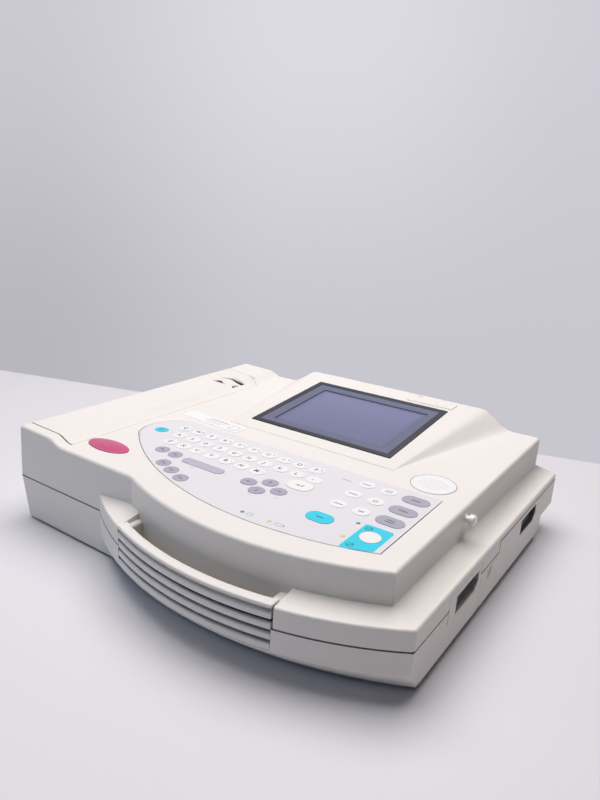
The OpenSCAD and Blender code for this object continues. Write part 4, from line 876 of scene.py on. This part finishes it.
class ECG_OT_legends(bpy.types.Operator):
    """Prints the letters, arrows and marks on the keys"""

    bl_idname = "ecg.legends"
    bl_label = "Key Legends"

    def execute(self, context):
        p = context.scene.ecg_panel
        low, high = KEY_TOP * MM - 0.00001, KEY_TOP * MM + p.ink_t
        bm = bmesh.new()
        words = []
        for row, x0, y in LETTER_ROWS:
            for n, sign in enumerate(row):
                x = x0 + n * KEY_PITCH
                words.append((sign, (x - 1.2) * MM, (y + 0.4) * MM, p.legend))
                if row == LETTER_ROWS[0][0]:
                    words.append((str((n + 1) % 10), (x + 3.4) * MM, (y + 2.0) * MM, p.legend * 0.55))
                elif n % 2 == 0:
                    mark(bm, x + 3.6, y + 1.6, 1.6, 0.35, low, high)
        letters(bm, words, low, high)
        for x, y in EDIT_KEYS:
            mark(bm, x - 1.2, y + 0.5, 4.6, 0.7, low, high)
            mark(bm, x + 1.6, y - 1.1, 2.6, 0.6, low, high)
        # function keys: a word bar at the left, a small sign at the right
        left, right = FUNCTION_X
        for y in FUNCTION_Y:
            mark(bm, left, y, 7.6, 0.8, low, high)
        top, middle, bottom = FUNCTION_Y
        for dx in (-2.4, 2.4, 0):
            mark(bm, right + dx, top, 0.4, 3.4, low, high)
        for dy in (1.6, -1.6):
            mark(bm, right, top + dy, 5.2, 0.4, low, high)
        arrow(bm, right, middle + 0.9, 2.8, low, high, 0)
        arrow(bm, right, middle - 1.1, 2.8, low, high, 180)
        for turn in (0.5, -0.5):
            mark(bm, right, bottom, 5.2, 0.5, low, high, turn)
        new_piece("key_legends", bm, "ink", move=DECK)
        # marks that move with their keys
        for name, x, y, way in ARROWS:
            bm = bmesh.new()
            arrow(bm, x, y, 3.2, low, high, way)
            self.on_key(bm, name)
        for name, x, y in MODES:
            bm = bmesh.new()
            if name == "mode_key_c":
                mark(bm, x, y + 1.4, 6.4, 0.8, low, high)
                mark(bm, x, y - 1.4, 7.4, 0.8, low, high)
            else:
                mark(bm, x, y, 7.0, 0.9, low, high)
            self.on_key(bm, name)
        bm = bmesh.new()
        arrow(bm, 61, 71.4, 4, low, high, 180)
        mark(bm, 63.4, 72.9, 0.6, 3.4, low, high)
        self.on_key(bm, "enter_key")
        bm = bmesh.new()
        mark(bm, 101, 39, 6.2, 0.9, low, high)
        self.on_key(bm, "copy_key")
        bm = bmesh.new()
        x, y = POWER_AT
        mark(bm, x, y + 1, 0.5, 3, low, high)
        for k in range(10):
            turn = math.radians(130 + k * 31)
            at = x + 2.1 * math.cos(turn), y + 2.1 * math.sin(turn)
            mark(bm, *at, 1.2, 0.45, low, high, turn + math.pi / 2)
        self.on_key(bm, "power_key")
        return {"FINISHED"}

    def on_key(self, bm, key):
        """Makes the mark of one key, which moves with its cap."""
        new_piece(key + "_mark", bm, "ink", key + "_cap", move=DECK)


class ECG_OT_foil_marks(bpy.types.Operator):
    """Prints the small signs beside the lamps and on the start field"""

    bl_idname = "ecg.foil_marks"
    bl_label = "Foil Marks"

    def execute(self, context):
        t = context.scene.ecg_panel.ink_t
        bm = bmesh.new()
        # a plug in a ring and a battery with its stud
        outline(bm, 61.5, 11.4, 5.2, 4.2, 0.45, 0, t, 20)
        box(bm, 86, 12.6, 3, 1.5, 6.4, 3.4, 0.4, 0, t)
        mark(bm, 89.7, 12.6, 0.9, 1.5, 0, t)
        # a word bar beside the first function key
        mark(bm, 83.4, 104.5, 9.4, 0.7, 0, t, -0.05)
        # short bars under the arrow keys and the space key
        for x, y in ((41, 35.6), (60, 43.6), (-24, 43)):
            mark(bm, x, y, 2.6, 0.4, 0, t)
        new_piece("foil_signs", bm, "pale_ink", move=DECK)
        bm = bmesh.new()
        low, high = 0.13 * MM, 0.15 * MM + t
        for x, y in ((135.5, 46.5), (136, 20.5)):
            outline(bm, x, y, 5.2, 4.4, 0.4, low, high, 20)
            mark(bm, x, y, 3.4, 0.4, low, high, 0.6)
            mark(bm, x + 1.6, y + 2.2, 2.6, 0.4, low, high, -0.5)
        new_piece("start_signs", bm, "ink", move=DECK)
        return {"FINISHED"}


# ---- screen ----
# ---- screen ----
SURROUND = (0.1514, 0.1214)
# widths of the slope, the mask and the inner lip, the lip's drop and the height of the outside
SLOPE, MASK, LIP, LIP_DROP, SKIRT = 1.1 * MM, 10.6 * MM, 0.3 * MM, 0.8 * MM, 2.6 * MM
# half widths within which a corner is the opening's, and beyond which it is the outside's
OPENING, OUTSIDE = 0.0592, 0.07


class ECG_OT_screen(bpy.types.Operator):
    """Frames the screen: a dark border, a sloped step and the mask round the picture"""

    bl_idname = "ecg.screen"
    bl_label = "Screen Frame"

    def execute(self, context):
        d = context.scene.ecg_screen
        bm = bmesh.new()
        bmesh.ops.create_grid(bm, x_segments=1, y_segments=1, size=0.5)
        bmesh.ops.scale(bm, vec=(*SURROUND, 1), verts=bm.verts)
        face = bm.faces[:][0]
        # border, slope, mask, then the step down to the glass
        for thick, drop, slot in ((d.border, 0, 0), (SLOPE, -d.step, 0), (MASK, 0, 1), (LIP, -LIP_DROP, 1)):
            made = bmesh.ops.inset_region(
                bm, faces=[face], thickness=thick, depth=drop, use_even_offset=True, use_boundary=True
            )
            for f in made["faces"]:
                f.material_index = slot
        # the opening runs further to the right and to the front, where the mask is narrow
        opening = [v for v in bm.verts if abs(v.co.x) < OPENING]
        bmesh.ops.translate(bm, vec=(d.offset, 0, 0), verts=[v for v in opening if v.co.x > 0])
        bmesh.ops.translate(bm, vec=(0, -d.offset, 0), verts=[v for v in opening if v.co.y < 0])
        bmesh.ops.delete(bm, geom=[face], context="FACES")
        rim = [e for e in bm.edges if e.is_boundary and max(abs(v.co.x) for v in e.verts) > OUTSIDE]
        side = bmesh.ops.extrude_edge_only(bm, edges=rim)["geom"]
        bmesh.ops.translate(bm, vec=(0, 0, -SKIRT), verts=verts_in(side))
        for f in bm.faces:
            middle = f.calc_center_median()
            if middle.z < -0.001 and abs(f.normal.z) < 0.1 and abs(middle.x) > OUTSIDE:
                f.material_index = 0
        folds = [e for e in bm.edges if len(e.link_faces) == 2 and e.calc_face_angle() > 0.5]
        bevel(bm, [e for e in folds if e.verts[0].co.z > -0.0001], 0.3 * MM)
        new_piece("screen_surround", bm, "bezel", more=("mask",), move=WINDOW)
        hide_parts("display_bezel")
        return {"FINISHED"}


# ---- badge and labels ----
INK_T = 0.02 * MM
BADGE_AT, BADGE_T = (-0.1086, 0.0292, -0.0006), 0.0013
SEAL_AT, STRIP_AT = (0.1396, 0.1426, 0), (-0.086, 0.136, 0)
# bottom and top of the ink on the labels and on the nameplate
LABEL_INK, PLATE_INK = (0.3 * MM, 0.32 * MM), (0.2 * MM, 0.22 * MM)


def disc(bm, w, d, t, steps=96, edge=0.0003):
    """An oval plate standing on height 0, its top edge rounded."""
    made = bmesh.ops.create_circle(bm, cap_ends=True, segments=steps, radius=0.5, matrix=Matrix.Diagonal((w, d, 1, 1)))
    face = made["verts"][0].link_faces[0]
    grown = bmesh.ops.extrude_face_region(bm, geom=[face])["geom"]
    bmesh.ops.translate(bm, vec=(0, 0, t), verts=verts_in(grown))
    above = [e for e in bm.edges if all(v.co.z > t * 0.9 for v in e.verts)]
    bevel(bm, [e for e in above if len(e.link_faces) == 2 and e.calc_face_angle() > 1], edge, 3)


class ECG_OT_labels(bpy.types.Operator):
    """Makes the badge, and the lines on the round label, the blank strip and the nameplate"""

    bl_idname = "ecg.labels"
    bl_label = "Badge and Labels"

    def execute(self, context):
        b = context.scene.ecg_labels
        at = Matrix.Translation(BADGE_AT)
        bm = bmesh.new()
        disc(bm, 0.0456, 0.0216, BADGE_T, edge=b.dome)
        new_piece("badge_plate", bm, "badge_magenta", move=DECK @ at)
        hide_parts("badge")
        bm = bmesh.new()
        outline(bm, 0, 0, 42.4, 18.4, 0.3, BADGE_T, BADGE_T + INK_T, 72)
        new_piece("badge_line", bm, "blush", move=DECK @ at)
        bm = bmesh.new()
        at = Matrix.Translation(SEAL_AT)
        outline(bm, 0, 0, 36.4, 36.4, 0.5, *LABEL_INK, 72)
        new_piece("round_label_line", bm, "line_ink", move=DECK @ at)
        bm = bmesh.new()
        for k, (w, x) in enumerate(((14, 0), (22, -1), (24, 1), (25, 0), (20, -1), (12, 0))):
            mark(bm, x, 8.6 - 3.4 * k, w, 0.25, *LABEL_INK)
        new_piece("round_label_rules", bm, "pale_ink", move=DECK @ at)
        bm = bmesh.new()
        at = Matrix.Translation(STRIP_AT) @ Matrix.Rotation(math.radians(-4), 4, "Z")
        for x, y, w, line in ((6, 3.6, 24, 1.1), (4, -0.2, 26, 0.6), (3, -3.6, 20, 0.6)):
            mark(bm, x, y, w, line, *LABEL_INK)
        box(bm, 28, 0, 4.4, 4.4, 9, 9, 0.5, *LABEL_INK)
        new_piece("strip_rules", bm, "pale_ink", move=DECK @ at)
        # the nameplate's front and right edges, and the small square behind it
        bm = bmesh.new()
        mark(bm, 53, 65.7, 49.9, 0.3, *PLATE_INK)
        mark(bm, 77.8, 72, 0.3, 12.9, *PLATE_INK)
        box(bm, 36, 81.6, 2, 2, 4.4, 4.4, 0.4, 0, INK_T)
        new_piece("nameplate_lines", bm, "line_ink", move=WINDOW)
        return {"FINISHED"}


# ---- stage ----
EYE = Vector((0.3138, -0.4422, 0.2886))
RIGHT, UP = Vector((0.8165, 0.5747, 0.0549)), Vector((-0.2100, 0.2069, 0.9555))
TABLE_END = (0.957, -0.2895, 0.3175)  # the line of the table's rear edge: shares of y and x, and their sum


def backdrop(f, wall, x, y, rise):
    """The wall's painted light towards a place: lighter upward, darker to the sides and most at the lower left."""
    ahead = y * RIGHT.x - x * RIGHT.y
    across, up = (x * RIGHT.x + y * RIGHT.y) / ahead, rise / ahead
    left = (across * -1).smooth(0.0, 0.42)
    right = across.smooth(0.05, 0.42) * up.smooth(-0.25, 0.2)
    tone = f.blend(up.smooth(-0.25, 0.26), shade(wall, 0.96), shade(wall, 1.19))
    return f.blend(left * 0.17 + right * 0.12, tone, (0, 0, 0))


class ECG_OT_stage(bpy.types.Operator):
    """Sets the table, the backdrop, the lamps and the camera"""

    bl_idname = "ecg.stage"
    bl_label = "Stage"

    def execute(self, context):
        s = context.scene.ecg_stage
        bm = bmesh.new()
        bmesh.ops.create_grid(bm, x_segments=1, y_segments=1, size=30)
        mesh = bpy.data.meshes.new("table")
        bm.to_mesh(mesh)
        bm.free()
        table = added("table", mesh)
        f = Finish("Pale table", specular_ior_level=0.3)
        x, y, _ = f.axes(f.place())
        # beyond the table's rear edge the backdrop begins
        beyond = (y * TABLE_END[0] + x * TABLE_END[1] - TABLE_END[2]).smooth(-0.004, 0.004)
        cloud = f.noise(0.0012, 2)
        f.set("Base Color", f.blend(cloud, shade(s.table, 0.985), shade(s.table, 1.015)))
        f.set("Roughness", cloud * 0.1 + 0.42)
        f.set("Normal", f.bump(f.noise(0.6, 2), 0.1, 0.02))
        # beyond the table the backdrop glows with its painted light
        seen = backdrop(f, s.wall, x - EYE.x, y - EYE.y, -EYE.z)
        wall = f.node("ShaderNodeEmission", None, {"Color": seen, "Strength": 1.0})
        f.output(beyond * f.direct(), Wire(f, f.shader.outputs[0]), wall, "Material Output")
        mesh.materials.append(f.material)
        self.lamps(context, s)
        self.room(context, s)
        self.camera(context, s)
        context.scene.view_settings.view_transform = "Standard"
        return {"FINISHED"}

    def lamps(self, context, s):
        """A wide light overhead and a cool one at the front left."""
        for name, power, size, at, aim, colour in (
            ("Top light", s.top, (1.7, 1.3), (-0.15, 0.2, 1.5), (0.0, 0.05, 0), (1.0, 0.968, 0.96)),
            ("Cool light", s.side, (1.0, 0.8), (-1.1, -1.3, 0.7), (0, 0, 0), (0.40, 0.68, 1.0)),
        ):
            lamp = bpy.data.lights.new(name, "AREA")
            lamp.shape, lamp.size, lamp.size_y = "RECTANGLE", size[0], size[1]
            lamp.energy, lamp.color = power, colour
            way = Vector(aim) - Vector(at)
            turn = way.to_track_quat("-Z", "Y").to_matrix().to_4x4()
            added(name, lamp).matrix_world = Matrix.Translation(at) @ turn

    def room(self, context, s):
        """The backdrop for direct looks, and a faint cool light."""
        world = bpy.data.worlds.new("Room")
        context.scene.world = world
        world.use_nodes = True
        f = Shop(world.node_tree)
        # the backdrop's painted light, for direct looks
        wall = backdrop(f, s.wall, *f.axes(f.node("ShaderNodeTexCoord", out="Generated")))
        picture = f.node("ShaderNodeBackground", None, {"Color": wall, "Strength": 1.0})
        ambient = f.node("ShaderNodeBackground", None, {"Color": full((0.62, 0.74, 1.0)), "Strength": s.sky})
        f.output(f.direct(), ambient, picture, "World Output")

    def camera(self, context, s):
        """The camera, turned by its right and up directions."""
        lens = bpy.data.cameras.new("Camera")
        lens.lens, lens.sensor_width, lens.sensor_fit = s.lens, 36, "AUTO"
        lens.clip_start, lens.clip_end = 0.01, 100
        eye = added("Camera", lens)
        back = RIGHT.cross(UP).normalized()
        up = back.cross(RIGHT.normalized())
        turn = Matrix((RIGHT.normalized(), up, back)).transposed().to_4x4()
        eye.matrix_world = Matrix.Translation(EYE) @ turn
        context.scene.camera = eye


STEPS = (
    ECG_OT_finishes, ECG_OT_mouldings, ECG_OT_spring, ECG_OT_legends,
    ECG_OT_foil_marks, ECG_OT_screen, ECG_OT_labels, ECG_OT_stage,
)


class ECG_PT_panel(bpy.types.Panel):
    """Lists the steps in their order"""

    bl_label = "ECG Machine"
    bl_idname = "ECG_PT_panel"
    bl_space_type = "VIEW_3D"
    bl_region_type = "UI"
    bl_category = "ECG Machine"

    def draw(self, context):
        for step in STEPS:
            self.layout.operator(step.bl_idname)
        for group, _ in GROUPS:
            box = self.layout.box()
            values = getattr(context.scene, group)
            for key in values.bl_rna.properties.keys():
                if key not in ("rna_type", "name"):
                    box.prop(values, key)


GROUPS = (
    ("ecg_shell", ShellProps), ("ecg_panel", PanelProps), ("ecg_screen", ScreenProps),
    ("ecg_labels", LabelProps), ("ecg_stage", StageProps),
)


def register():
    for name, group in GROUPS:
        bpy.utils.register_class(group)
        setattr(bpy.types.Scene, name, bpy.props.PointerProperty(type=group))
    for step in (*STEPS, ECG_PT_panel):
        bpy.utils.register_class(step)


def unregister():
    for step in reversed((*STEPS, ECG_PT_panel)):
        bpy.utils.unregister_class(step)
    for name, group in reversed(GROUPS):
        delattr(bpy.types.Scene, name)
        bpy.utils.unregister_class(group)


def main():
    register()
    for step in STEPS:
        group, name = step.bl_idname.split(".")
        getattr(getattr(bpy.ops, group), name)()


if __name__ == "__main__":
    main()
